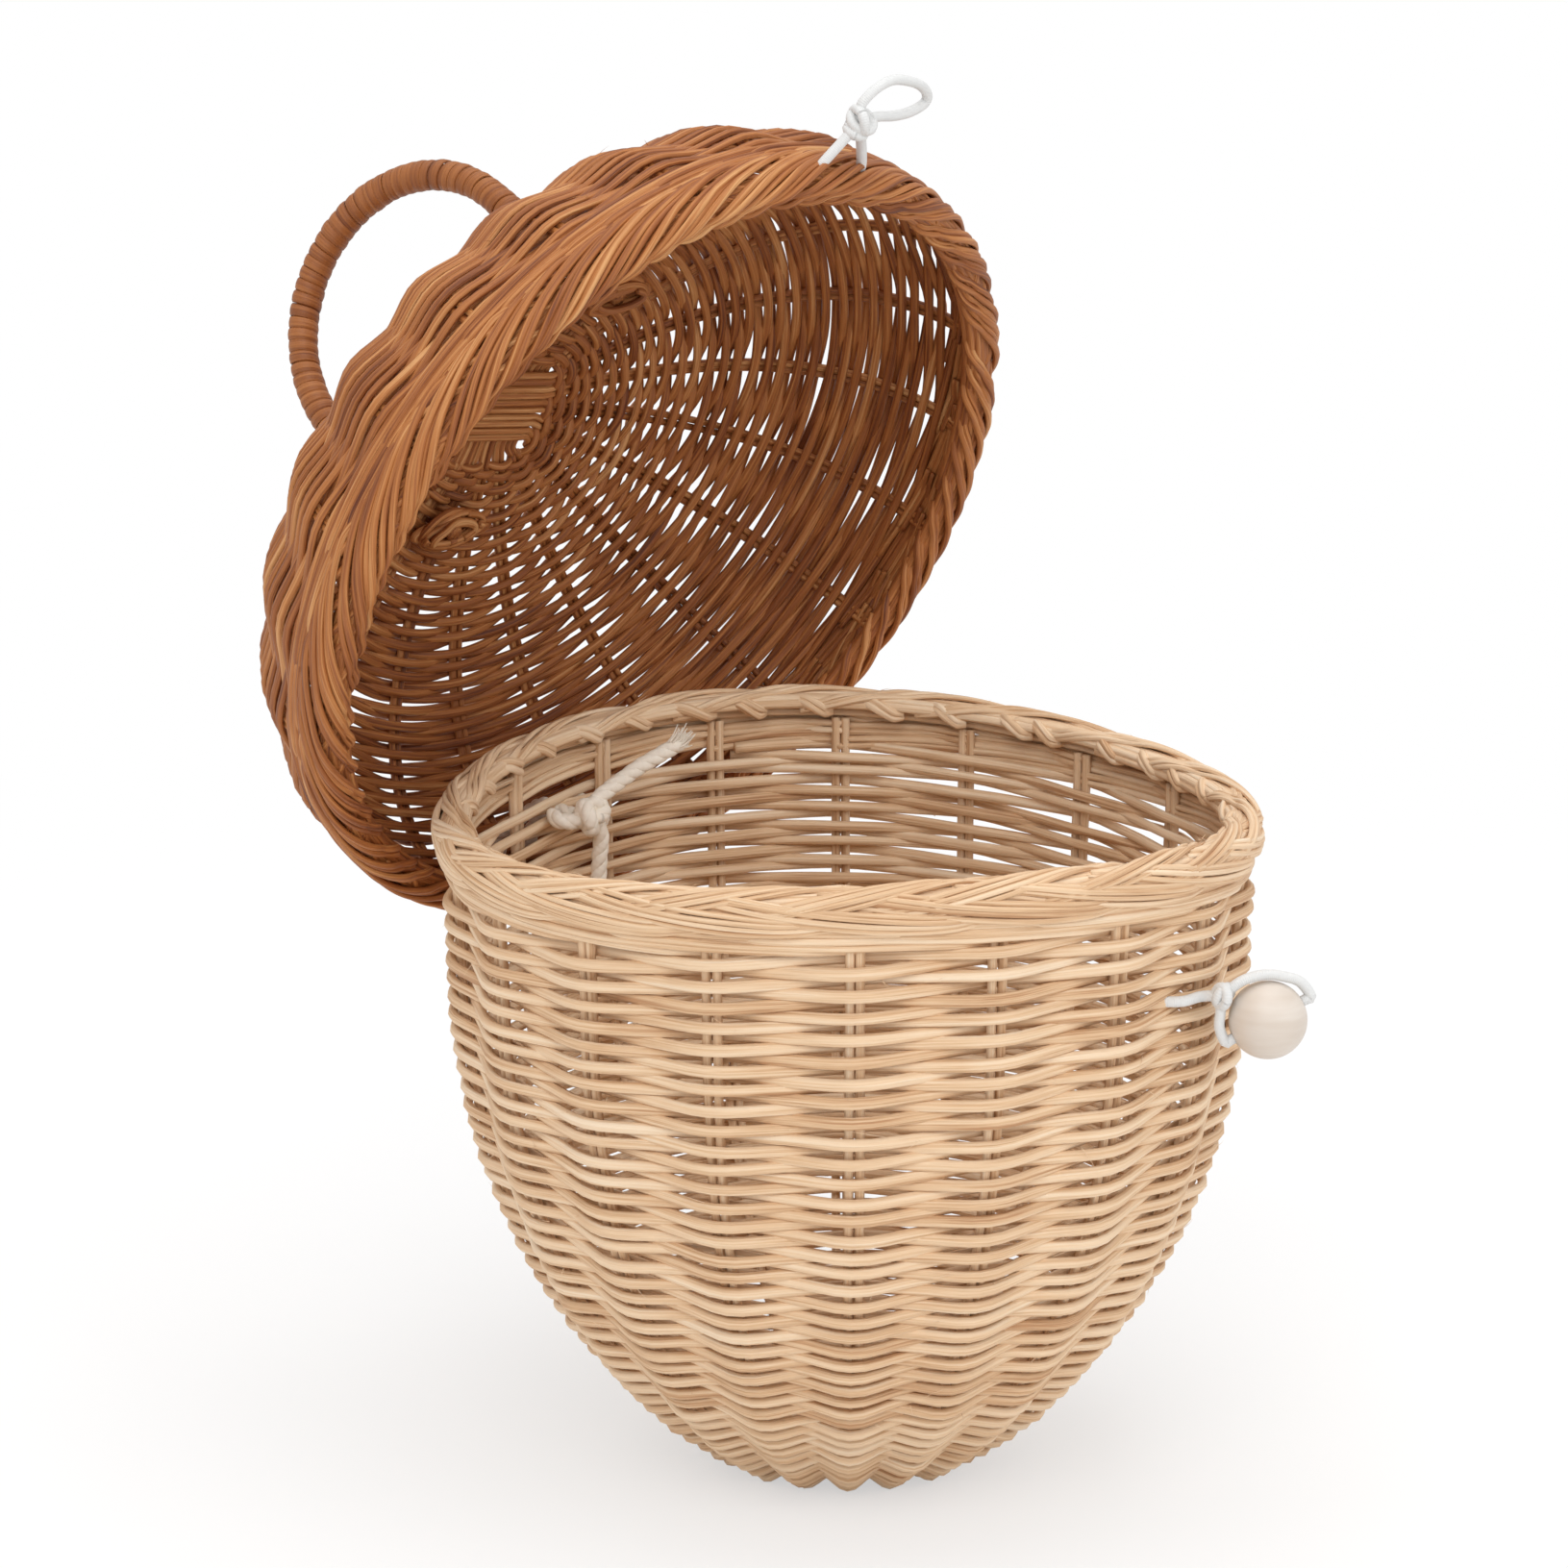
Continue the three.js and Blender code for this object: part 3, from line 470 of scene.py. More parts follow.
def squared(r, angle, cross):
    """Rows are rounded squares round the cross and become circles."""
    turn = angle - cross
    square = (np.cos(turn) ** 4 + np.sin(turn) ** 4) ** -0.25 - 1
    return r * (1 + square * (1 - smoothstep(r, WEAVE_R, 34)))


# Weave
CANE_LENGTH = 700


class Weave(SimpleNamespace):
    """Two weavers over and under the stakes of a wall.

    outline: the wall's outer face. stakes, start: how many stakes, and the angle of the first.
    cross: the angle of the cross. rows: how many rows of weavers lie over each other.
    depth: how far the middle of the weave lies below the face. sway: how far a weaver swings about it.
    thick, tall: half the size of a weaver. cane: the radius of a stake's cane.
    lean: how rows are closer at one side, as a share, its change and the direction.
    foot: how far the weave is lifted off the floor where it faces down.
    swell: how much taller a weaver is midway between two stakes.
    """

    def deep(self, s, extra=0.0):
        nz = np.interp(s, self.outline.s, self.outline.normal[1])
        return self.depth + extra + self.foot * np.clip(-nz, 0, 1) ** 3

    def weavers(self, shape):
        """Two strands that spiral up from the cross, each over the stakes that the other goes under."""
        for strand in (0, 1):
            turns = (self.rows - 1) / 2
            count = int(turns * self.stakes * 8)
            angle = self.start + 0.3 + TAU * turns * np.arange(count + 1) / count
            u = (2 * turns * np.arange(count + 1) / count + strand) / self.rows
            share = self.lean[0] + self.lean[1] * np.cos(angle - self.lean[2])
            s = self.outline.length * (u + share * (u**3 - u**2))
            x = self.stakes / 2 * (angle - self.start)
            wave = (np.cos(x) + 0.1 * np.cos(3 * x)) / 1.1 * (1 if strand == 0 else -1)
            n = count + 1
            sway = self.sway * (1 + wander(n, 11, 0.05)) * smoothstep(u, -0.12, 0.1)
            s = s + wander(n, 9, 0.22) + wander(n, 70, 0.25)
            dip = 0.8 * (1 - np.cos(2 * x)) / 2
            r, z, nr, nz = self.outline.at(s, self.deep(s, dip) - sway * wave + wander(n, 13, 0.1))
            r = squared(r, angle, self.cross)
            path = polar(r, angle, z)
            side = polar(nr, angle, nz)
            size = 1 + wander(n, 40, 0.05) + self.lean[1] * 0.9 * np.cos(angle - self.lean[2])
            tall = self.tall * size * (1 + self.swell * (1 - np.abs(wave)))
            # A weaver is many lengths of cane, each with its own tone.
            lengths = run_of(path) / CANE_LENGTH
            tone = rng.uniform(size=int(lengths[-1]) + 2)[lengths.astype(int)]
            shape.tube(path, side, self.thick * size, tall, tone=tone)

    def stake(self, shape, number, tip):
        """A pair of canes from the edge of the cross up into the border."""
        angle = self.start + TAU * number / self.stakes
        low = np.interp(CROSS_R - 0.4, self.outline.r, self.outline.s)
        s = np.linspace(low, self.outline.length, 90)
        r, z, nr, nz = self.outline.at(s, self.deep(s))
        r, z = np.append(r, r[-1] + np.zeros(6)), np.append(z, np.linspace(z[-1], tip, 7)[1:])
        nr, nz = np.append(nr, np.ones(6) * nr[-1]), np.append(nz, np.ones(6) * nz[-1])
        for hand in (-1, 1):
            off = hand * self.cane * 1.03 + wander(len(r), 30, 0.15)
            path = polar(r, angle, z) + polar(off, angle + math.pi / 2, 0)
            shape.tube(path, polar(nr, angle, nz), self.cane, self.cane)

    def bundle(self, shape, pairs, angle, lift, aside=0.0):
        """Pairs of canes across the middle, fanned out to meet their stakes."""
        step = TAU / self.stakes
        wide = 4 * self.cane + 0.25
        height = self.outline.at(0.0, self.deep(0.0))[1]
        for k in range(pairs):
            fan = (k - (pairs - 1) / 2) * step
            y = (k - (pairs - 1) / 2) * wide + aside
            for hand in (-1, 1):
                off = hand * self.cane * 1.03
                tip = (CROSS_R * math.cos(fan) + 0.2, CROSS_R * math.sin(fan) + aside / 4 + off, 0.0)
                ends = [tip, (13.2, y + off, 0.85), (10, y + off, 1)]
                half = [(a, b, height + lift * c) for a, b, c in ends]
                points = [(-a, b, c) for a, b, c in half] + [(0, y + off, height + lift)] + half[::-1]
                path = spun(curve(np.array(points), 1.0), angle)
                shape.tube(path, UP + 0 * path, self.cane, self.cane)


body_weave = Weave(
    outline=body_outline(),
    stakes=BODY_STAKES,
    start=BODY_START,
    cross=BODY_START,
    rows=80,
    depth=3.0,
    sway=2.75,
    thick=1.3,
    tall=1.52,
    cane=1.25,
    lean=(-0.04, 0.07, math.radians(-136)),
    foot=1.3,
    swell=-0.02,
)
lid_weave = Weave(
    outline=dome_outline(),
    stakes=LID_STAKES,
    start=LID_START,
    cross=LID_START - 3 * math.pi / LID_STAKES,
    rows=57,
    depth=1.95,
    sway=2.0,
    thick=0.98,
    tall=1.32,
    cane=1.05,
    lean=(0, 0, 0),
    foot=0.0,
    swell=0.08,
)


# Borders
# Where the inner ends start and how far they run, in degrees round the section, and how much they slant
ENDS_FROM, ENDS_ROUND, ENDS_SLANT = 118, 90, 0.125
# Where the fibres stand, and where the filling runs, in the same degrees, and in how many turns
FIBRES_ROUND = 75, 150
FILLING_FROM, FILLING_ROUND, FILLING_TURNS = -60, 245, 9


def rolled_border(shape, ring, height, tube, kind, flip=1, way=1):
    """Strands of canes run down the outer side, turn, and roll over the rim on top of the others.

    Of a kind, count is how many strands, canes how many canes each, start the angle of the first, and size
    half a cane's width. span is how far round a strand runs. first, low and last are where it starts, its
    lowest place and its end, in degrees round the section, and bend is when it is lowest. lap is how much
    each cane lies over its neighbour, and bunched how much narrower a strand is at both ends of its visible
    part. hidden is how deep its start lies under the others and from when to when it comes out. tucked is
    how deep it goes under them after its lowest place. together is how many strands lie in a group, and how
    much closer.
    """
    n = 90
    t = np.linspace(0, 1, n)
    bend, low, size = kind.bend, kind.low, kind.size
    fall = np.clip((bend - t) / bend, 0, 1) ** 1.6
    rise = np.clip((t - bend) / (1 - bend), 0, 1) ** 1.3
    middle = tube - size
    late = (t - bend) / (1 - bend)
    open_share = 0.5 - 0.5 * np.cos(TAU * np.clip((late - 0.08) / 0.84, 0, 1))
    bunch = 1 - kind.bunched * np.where(late < 0.08, smoothstep(t, bend - 0.12, bend + 0.02), 1 - open_share)
    deep, first_seen, last_hidden = kind.hidden
    under = deep * (1 - smoothstep(t, first_seen, last_hidden)) + 1.7 * smoothstep(t, 0.93, 1)
    under = under + kind.tucked * (smoothstep(late, -0.06, 0.06) - smoothstep(late, 0.16, 0.36))
    group, close = kind.together
    for k in range(kind.count):
        shift = rng.normal(0, 0.008) - close * (k % group - (group - 1) / 2) * TAU / kind.count
        strand_tone, deeper = rng.uniform(), rng.normal(0, 0.4)
        for c in np.arange(kind.canes) - (kind.canes - 1) / 2:
            step = way * kind.span * (t - 0.5) * (1 + rng.normal(0, 0.015))
            angle = kind.start + TAU * k / kind.count + shift + step
            # The distance round the section: up from the middle of the outer side, negative below it.
            degrees = low + (kind.first - low) * fall + (kind.last - low) * rise
            round_it = middle * np.radians(degrees) + 1.88 * size * c * bunch + wander(n, 20, 0.15) + deeper
            turn = np.maximum(round_it / middle, 0)
            edge = 0.45 * size * (np.abs(c) > 1.4)
            groove = 0.9 * np.exp(-(((turn - 1.95) / 0.28) ** 2))
            rho = middle + 0.2 - under + kind.lap * c - edge - groove + wander(n, 12, 0.1)
            z = height + flip * (rho * np.sin(turn) + np.minimum(round_it, 0))
            path = polar(ring + rho * np.cos(turn), angle, z)
            side = polar(np.cos(turn), angle, flip * np.sin(turn))
            grow = 1 + wander(n, 25, 0.05)
            tone = np.clip(strand_tone + rng.normal(0, 0.16), 0, 1)
            shape.tube(path, side, size * 0.92 * grow, size * grow, tone=tone)


def border_filling(shape, ring, height, tube, flip=1):
    """Canes that run round under the rolled strands, as one spiral."""
    n = FILLING_TURNS * 110
    t = np.linspace(0, 1, n)
    angle = TAU * FILLING_TURNS * t
    turn = np.radians(FILLING_FROM + FILLING_ROUND * t)
    rho = tube - 2.9 + 0.9 * smoothstep(turn, 1.9, 2.5) + wander(n, 14, 0.12)
    path = polar(ring + rho * np.cos(turn), angle, height + flip * rho * np.sin(turn))
    shape.tube(path, polar(np.cos(turn), angle, flip * np.sin(turn)), 1.05, 1.3)


def inner_ends(shape, ring, height, tube, count, start, size):
    """Short ends on the inner side that slant the other way and are cut off below."""
    t = np.linspace(0, 1, 26)
    for k in range(count):
        slant = -rng.normal(ENDS_SLANT, 0.012)
        middle = start + TAU * (k + 0.5) / count + rng.normal(0, 0.025)
        for c in (-0.5, 0.5):
            angle = middle + slant * (t - 0.5)
            turn = np.radians(ENDS_FROM + (ENDS_ROUND + rng.normal(0, 5)) * t) + c * 1.9 * size / tube
            rho = tube - size * 1.1 - 1.9 * (1 - smoothstep(t, 0, 0.45)) - 1.8 * smoothstep(t, 0.78, 1)
            path = polar(ring + rho * np.cos(turn), angle, height + rho * np.sin(turn))
            shape.tube(path, polar(np.cos(turn), angle, np.sin(turn)), size * 0.9, size)


def hair(shape, path, out, size):
    """A thin loose fibre, thinner towards its end."""
    half = size * (1.05 - np.linspace(0, 1, len(path)))
    shape.tube(path, out + 0 * path, half, half, HAIR_SIDES, tone=0.9)


def rim_fibres(shape, ring, height, tube, count, length):
    """Thin loose fibres on top of the border."""
    for _ in range(count):
        angle, turn = rng.uniform(0, TAU), math.radians(rng.uniform(*FIBRES_ROUND))
        out = polar(math.cos(turn), angle, math.sin(turn))
        along = polar(1, angle + math.pi / 2, 0)
        t = np.linspace(0, 1, 9)[:, None]
        run = rng.uniform(0.35, 1) * length
        lift = tube - 0.5 + rng.uniform(0.1, 0.45) * run * t * (1.3 - 0.6 * t)
        path = polar(ring, angle, height) + out * lift + along * rng.choice([-1, 1]) * run * t
        path = path + np.cross(out, along) * rng.normal(0, 0.25) * run * t**2
        hair(shape, path, out, 0.1)


def wale(shape, ring, height, stakes, start, size, drop, span, turned=1.0):
    """Long strands that come out between two stakes, pass over two or three and go in again lower down."""
    n = 80
    t = np.linspace(0, 1, n)
    for k in range(stakes):
        for c in (-0.5, 0.5):
            angle = start + TAU * (k + 0.5) / stakes + span * (t - 0.5) + rng.normal(0, 0.008)
            into = (1 - smoothstep(t, 0, 0.14)) + smoothstep(t, 0.86, 1)
            r = ring - 2.2 * into + 0.9 * (1 - into) * (1 - 2 * t) + wander(n, 14, 0.12)
            z = height + turned * (drop * (0.5 - t) - c * 2 * size * 0.92) + wander(n, 16, 0.12)
            path = polar(r, angle, z)
            side = polar(np.ones(n), angle, 0)
            thick = size * (1 - 0.35 * into + wander(n, 25, 0.05))
            shape.tube(path, side, thick, size * (1 - 0.2 * into))


def stray_fibres(shape, outline, count, low, high, length):
    """Thin loose fibres that stand off the canes."""
    for _ in range(count):
        angle, s = rng.uniform(0, TAU), rng.uniform(low, high) * outline.length
        r, z, nr, nz = outline.at(s, 1.2)
        out, along = polar(nr, angle, nz), polar(1, angle + math.pi / 2, 0)
        up = np.cross(out, along)
        way = rng.normal(0, 1, 3)
        run = rng.uniform(0.4, 1) * length
        t = np.linspace(0, 1, 9)[:, None]
        path = polar(r, angle, z) + along * way[0] * run * t + up * way[1] * 0.5 * run * t
        path = path + out * (0.9 * t + abs(way[2]) * 0.35 * run * t * (1 - 0.55 * t))
        hair(shape, path, out, 0.11)


# Body
def body_piece(shape, name, node):
    shape.piece(name, natural, "basket", "natural_cane", [node], body_place)


shape = Shape()
body_weave.weavers(shape)
stray_fibres(shape, body_weave.outline, 150, 0.3, 0.99, 8)
body_piece(shape, "body_weavers", "body_weave")
for k in range(BODY_STAKES):
    shape = Shape()
    body_weave.stake(shape, k, STAKE_TOP)
    body_piece(shape, f"body_stake_canes_{k + 1}", f"body_stake_{k + 1}")
for name, pairs, angle, lift in (
    ("lower", 5, BODY_START, -1.4),
    ("upper", 4, BODY_START + math.pi / 2, 1.4),
):
    shape = Shape()
    body_weave.bundle(shape, pairs, angle, lift)
    body_piece(shape, f"body_cross_{name}_canes", f"body_cross_{name}")
shape = Shape()
wale(shape, WALE_R, WALE_Z, BODY_STAKES, BODY_START, size=1.15, drop=4.6, span=math.radians(60))
body_piece(shape, "body_wale_strands", "body_wale")
shape = Shape()
body_strands = SimpleNamespace(
    count=BODY_STAKES,
    canes=4,
    start=BODY_START,
    size=0.78,
    span=1.62,
    first=66,
    low=-55,
    last=174,
    bend=0.43,
    lap=0.16,
    bunched=0.3,
    hidden=(1.5, 0.02, 0.17),
    tucked=1.5,
    together=(1, 0),
)
rolled_border(shape, RIM_R, RIM_Z, RIM_TUBE, body_strands)
border_filling(shape, RIM_R, RIM_Z, RIM_TUBE)
inner_ends(shape, RIM_R, RIM_Z, RIM_TUBE, 2 * BODY_STAKES, BODY_START, 1.15)
rim_fibres(shape, RIM_R, RIM_Z, RIM_TUBE, 90, 4.0)
body_piece(shape, "body_border_plait", "body_border")


# Lid
def lid_piece(shape, name, node, material=stained, slot="stained_cane"):
    shape.piece(name, material, "lid", slot, [node], lid_place)


shape = Shape()
lid_weave.weavers(shape)
stray_fibres(shape, lid_weave.outline, 70, 0.3, 0.99, 6)
lid_piece(shape, "lid_weavers", "lid_weave")
for k in range(LID_STAKES):
    shape = Shape()
    lid_weave.stake(shape, k, LID_STAKE_END)
    lid_piece(shape, f"lid_stake_canes_{k + 1}", f"lid_stake_{k + 1}")
for name, pairs, angle, lift, aside in (
    ("outer", 6, lid_weave.cross, 1.1, 0),
    ("inner", 5, lid_weave.cross + math.pi / 2, -1.1, 1.2),
):
    shape = Shape()
    lid_weave.bundle(shape, pairs, angle, lift, aside)
    lid_piece(shape, f"lid_cross_{name}_canes", f"lid_cross_{name}")
shape = Shape()
for k, ((ring, height), span) in enumerate(zip(LID_WALES, (54, 48))):
    start = LID_START + k * 0.5 * TAU / LID_STAKES
    wale(shape, ring, height, LID_STAKES, start, size=1.0, drop=4.4, span=math.radians(span), turned=-1.0)
lid_piece(shape, "lid_wale_strands", "lid_wale")
shape = Shape()
lid_strands = SimpleNamespace(
    count=3 * LID_STAKES,
    canes=2,
    start=LID_START,
    size=0.98,
    span=0.8,
    first=90,
    low=-85,
    last=174,
    bend=0.34,
    lap=0.7,
    bunched=0.3,
    hidden=(1.9, 0.12, 0.46),
    tucked=0.0,
    together=(3, 0.1),
)
rolled_border(shape, LID_R, 0, LID_TUBE, lid_strands, -1, -1)
border_filling(shape, LID_R, 0, LID_TUBE, -1)
lid_piece(shape, "lid_border_plait", "lid_border")


# Handle: half its width, how far it stands aside, its top and how far the top leans
SPREAD, SHIFT, TOP_Z, LEAN = 39.6, 4.3, 151, 2
# How far above the dome's face the arch starts, and how far below it the legs end
LEG_RISE, LEG_DEPTH = 3.6, 11
CORE_R = 2.4
WRAP_TURNS, WRAP_STEPS, WRAP_PAST = 61, 20, 0.012
WRAP_LIFT, WRAP_HALF_THICK, WRAP_HALF_WIDE = 3.85, 0.5, 1.82
LASH_CANES, LASH_POINTS, LASH_DEPTH, LASH_TILT = 12, 40, 6.7, math.radians(-7)
arch_side = polar(1, HANDLE_ANGLE, 0)
arch_normal = np.cross(arch_side, UP)


def leg_middle(side):
    return arch_side * (side * SPREAD - SHIFT)


leg_tops = [dome_z(abs(side * SPREAD - SHIFT)) for side in (1, -1)]
arch_low = max(leg_tops) + LEG_RISE
straight = TOP_Z - SPREAD - arch_low
arch_length = 2 * straight + math.pi * SPREAD


def arch_point(t):
    """A point of the handle's middle line; t runs from the first leg to the second."""
    run = t * arch_length
    turn = np.clip((run - straight) / SPREAD, 0, math.pi)
    past = np.maximum(run - straight - math.pi * SPREAD, 0)
    z = np.where(run < straight, arch_low + run, TOP_Z - SPREAD + SPREAD * np.sin(turn) - past)
    side = SPREAD * np.cos(turn) - LEAN * np.sin(turn) - SHIFT
    return side[..., None] * arch_side + z[..., None] * UP


def handle_cane(shape):
    first, last = [leg_middle(side) + UP * (top - LEG_DEPTH) for side, top in zip((1, -1), leg_tops)]
    path = even(np.vstack([first, arch_point(np.linspace(0, 1, 120)), last]), 1.5)
    shape.tube(path, arch_normal + 0 * path, CORE_R, CORE_R, CORD_SIDES)


def handle_wrapping(shape):
    """Flat cane wound round the arch, and a little past both its ends."""
    count = WRAP_TURNS * WRAP_STEPS + 1
    t = np.linspace(-WRAP_PAST, 1 + WRAP_PAST, count)
    middle = arch_point(np.clip(t, 0, 1))
    middle[:, 2] -= np.abs(t - np.clip(t, 0, 1)) * arch_length
    along = unit(np.gradient(middle, axis=0))
    in_plane = np.cross(along, arch_normal)
    turn = TAU * np.arange(count) / WRAP_STEPS
    out = in_plane * np.cos(turn)[:, None] + arch_normal * np.sin(turn)[:, None]
    lift = WRAP_LIFT + wander(count, 22, 0.12)
    path = middle + out * lift[:, None] + along * wander(count, 26, 0.16)[:, None]
    shape.tube(path, out, WRAP_HALF_THICK, WRAP_HALF_WIDE * (1 + wander(count, 30, 0.05)))


def handle_lashing(shape, side):
    """Short canes bound round the inner end of a leg."""
    leg = leg_middle(side)
    low = dome_z(np.linalg.norm(leg) + 8) - LASH_DEPTH
    for k in range(LASH_CANES):
        t = np.linspace(0, 1, LASH_POINTS)
        reach = 9.6 + rng.normal(0, 1.4)
        turn = TAU * t * rng.uniform(0.5, 0.9) + rng.uniform(0, 6)
        x = reach * np.cos(turn) + rng.normal(0, 0.8)
        y = (3.4 + rng.normal(0, 1.1)) * np.sin(turn)
        z = 0.36 * (k - 5.5) - 1.1 + wander(LASH_POINTS, 10, 0.7)
        path = spun(np.stack([x, y, z], -1), LASH_TILT) + leg + UP * low
        shape.tube(path, UP + 0 * path, 1.0, 1.1)


shape = Shape()
handle_cane(shape)
lid_piece(shape, "handle_cane", "handle_core")
shape = Shape()
handle_wrapping(shape)
lid_piece(shape, "handle_wrapping", "handle_wrap", wrapping, "wrapping_cane")
for number, side in ((1, 1), (2, -1)):
    shape = Shape()
    handle_lashing(shape, side)
    lid_piece(shape, f"handle_lashing_cane_{number}", f"handle_lashing_{number}")


# Elastic loop on the lid
ELASTIC_R, CORD_STEP = 1.4, 0.7
LOOP_ANGLE = math.radians(-80.4)
loop_reach = LID_R + LID_TUBE * math.cos(math.pi / 8) + 0.3
loop_out, loop_side = polar(1, LOOP_ANGLE, 0), polar(1, LOOP_ANGLE + math.pi / 2, 0)


def on_loop(side, out, up):
    """A place by the loop, from where it leaves the border: to the side, outwards and up."""
    return loop_out * (loop_reach + out) + loop_side * side + UP * up


def knot(shape, centre, axis, cord, size, plies=0, tilt=0.5):
    """Two turns of the cord pulled tight over each other."""
    axis = unit(np.asarray(axis, float))
    side = unit(np.cross(axis, [0.2, 0.9, 0.4]))
    other = np.cross(axis, side)
    t = np.linspace(0, TAU, 48, endpoint=False)[:, None]
    for k in range(2):
        lean = axis * math.cos(tilt + k * 1.35) + other * math.sin(tilt + k * 1.35)
        a = unit(np.cross(lean, side)) if k == 0 else side
        b = np.cross(lean, a)
        ring = centre + (a * np.cos(t) + b * np.sin(t)) * (size - cord) + axis * (k - 0.5) * cord * 0.9
        shape.cord(ring, cord, plies, endless=True)


KNOT_SIDE, KNOT_OUT = -3.6, 12.1
loop_points = [
    on_loop(-4.4, 14.2, 1.0),
    on_loop(-4.9, 17, 1.1),
    on_loop(-2.2, 21.1, 1.1),
    on_loop(2.2, 24, 1.0),
    on_loop(8, 24.4, 0.8),
    on_loop(14.6, 23.4, 0.7),
    on_loop(18.8, 21, 0.6),
    on_loop(19, 18.4, 0.5),
    on_loop(14.6, 15.7, 0.4),
    on_loop(8.6, 14.3, 0.2),
    on_loop(2.6, 13.9, 0),
    on_loop(-0.6, 13.2, -0.2),
]
loop_path = curve(loop_points, CORD_STEP)
shape = Shape()
shape.cord(loop_path, ELASTIC_R)
loop_cord = shape.piece("lid_loop_cord", elastic, "lid_loop", "elastic", ["lid_loop"], lid_place)
shape = Shape()
knot(shape, on_loop(KNOT_SIDE, KNOT_OUT, 0.2), loop_side, ELASTIC_R, 4.5)
knot(shape, on_loop(KNOT_SIDE - 0.2, KNOT_OUT - 2.4, 0), loop_out, ELASTIC_R, 3.6, tilt=0.1)
for side in (-10.4, 4.8):
    root = [
        on_loop(side * 1.15, -3, 0),
        on_loop(side, 0, 0),
        on_loop((side + KNOT_SIDE) / 2, KNOT_OUT / 2, 0),
        on_loop(KNOT_SIDE + 0.1 * side, KNOT_OUT - 2, 0),
    ]
    shape.cord(curve(root, CORD_STEP), ELASTIC_R)
loop_knot = shape.piece("lid_loop_knot", elastic, "lid_loop", "elastic", ["lid_loop"], lid_place)


# Bead and its elastic
BEAD_R, BEAD_HOLE_R, BEAD_SIDES = 10, 1.75, 56
BEAD_ANGLE, BEAD_REACH, BEAD_Z = math.radians(-76.5), 122.5, 139.4
WALL_EXIT_R = BODY_R - RIM_FLARE * 2.7 - 0.2
HOLE_ANGLE, HOLE_TILT = math.radians(-38.3), math.radians(27.4)
bead_place = polar(BEAD_REACH, BEAD_ANGLE, BEAD_Z)
bead_out = polar(1, HOLE_ANGLE, 0)
bead_side = polar(1, HOLE_ANGLE + math.pi / 2, 0)
hole_way = bead_out * math.cos(HOLE_TILT) + UP * math.sin(HOLE_TILT)


def make_bead():
    """A turned ball: its profile, from one mouth of the hole to the other, goes round the hole."""
    start = math.asin(BEAD_HOLE_R / BEAD_R)
    outer = np.linspace(start + 0.03, math.pi - start - 0.03, 33)
    mouth = BEAD_R * math.cos(start) - 0.35
    profile = [(BEAD_R * math.sin(a), -BEAD_R * math.cos(a)) for a in outer]
    profile = [(BEAD_HOLE_R, -mouth), *profile, (BEAD_HOLE_R, mouth)]
    side = unit(np.cross(hole_way, UP))
    other = np.cross(hole_way, side)
    turn = TAU * np.arange(BEAD_SIDES) / BEAD_SIDES
    ring = np.cos(turn)[:, None] * side + np.sin(turn)[:, None] * other
    points = np.vstack([bead_place + hole_way * h + ring * r for r, h in profile])
    faces = []
    for i in range(len(profile)):
        low, high = i * BEAD_SIDES, (i + 1) % len(profile) * BEAD_SIDES
        for j in range(BEAD_SIDES):
            k = (j + 1) % BEAD_SIDES
            faces.append([low + j, low + k, high + k, high + j])
    obj = add_mesh("bead_turned", points, faces, pale_wood)
    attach(obj, "bead")
    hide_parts("bead")


make_bead()


def on_hole(distance):
    """A place on the hole's middle line."""
    return bead_place + hole_way * distance


def round_bead(degrees, reach, aside=0.0):
    """A place beside the bead: turned up from the way that its hole points, `reach` radii from its middle."""
    turn = math.radians(degrees)
    away = bead_out * math.cos(turn) + UP * math.sin(turn)
    return bead_place + BEAD_R * reach * away + bead_side * aside


knot_place = round_bead(150, 1.36)
bead_route = [
    knot_place,
    round_bead(127, 1.28, -0.4),
    round_bead(109, 1.22, -0.2),
    round_bead(90, 1.19),
    round_bead(70, 1.19),
    round_bead(50, 1.26),
    on_hole(12.4),
    on_hole(10.6),
    on_hole(5),
    on_hole(0),
    on_hole(-5),
    on_hole(-10.6),
    on_hole(-12.1),
    round_bead(187, 1.26, -0.4),
    round_bead(169, 1.26, -0.4),
    knot_place,
]


def by_wall(out, degrees, z):
    """A place near the wall's outer face, where the elastic leaves it."""
    return polar(WALL_EXIT_R + out, math.radians(degrees), z)


from_wall = [
    by_wall(-8.5, -86.6, 144.6),
    by_wall(-3.4, -85.2, 144.8),
    by_wall(0.4, -83.3, 144.8),
    by_wall(2.6, -80.5, 145.2),
    knot_place,
]
shape = Shape()
shape.cord(curve(bead_route, CORD_STEP), ELASTIC_R)
shape.cord(curve(from_wall, CORD_STEP), ELASTIC_R)
knot(shape, knot_place, polar(1, BEAD_ANGLE + math.pi / 2, 0.1), ELASTIC_R, 3.7)
shape.piece("bead_elastic_cord", elastic, "bead_cord", "elastic", ["bead_elastic"])


# Cotton tie
TIE_Z, TIE_X, TIE_R, LINK_R = 160.8, -7, 2.3, 2.1
PLIES, PITCH, TIE_STEP = 3, 11, 0.6
# The link: where it leaves the wall, how far beside the stake and how high it passes the dome
LINK_LEFT, LINK_RIGHT = -8.4, 2.6
SPLIT, HOLE_Z, DOME_IN = 6, 15.2, DOME_R - 4
wall_r = BODY_R + RIM_FLARE * (TIE_Z - BELLY_Z)
inner_wall = wall_r - 7.5


def tie_at(side, inside, up):
    """A place by the tie's knot, from the wall's inner face."""
    return np.array([TIE_X + side, inner_wall - inside, TIE_Z + up])


def open_lid(x, behind):
    """A place at the back of the open lid, level with the tie's holes."""
    return lid_place(np.array([[x, behind, HOLE_Z]]))[0]


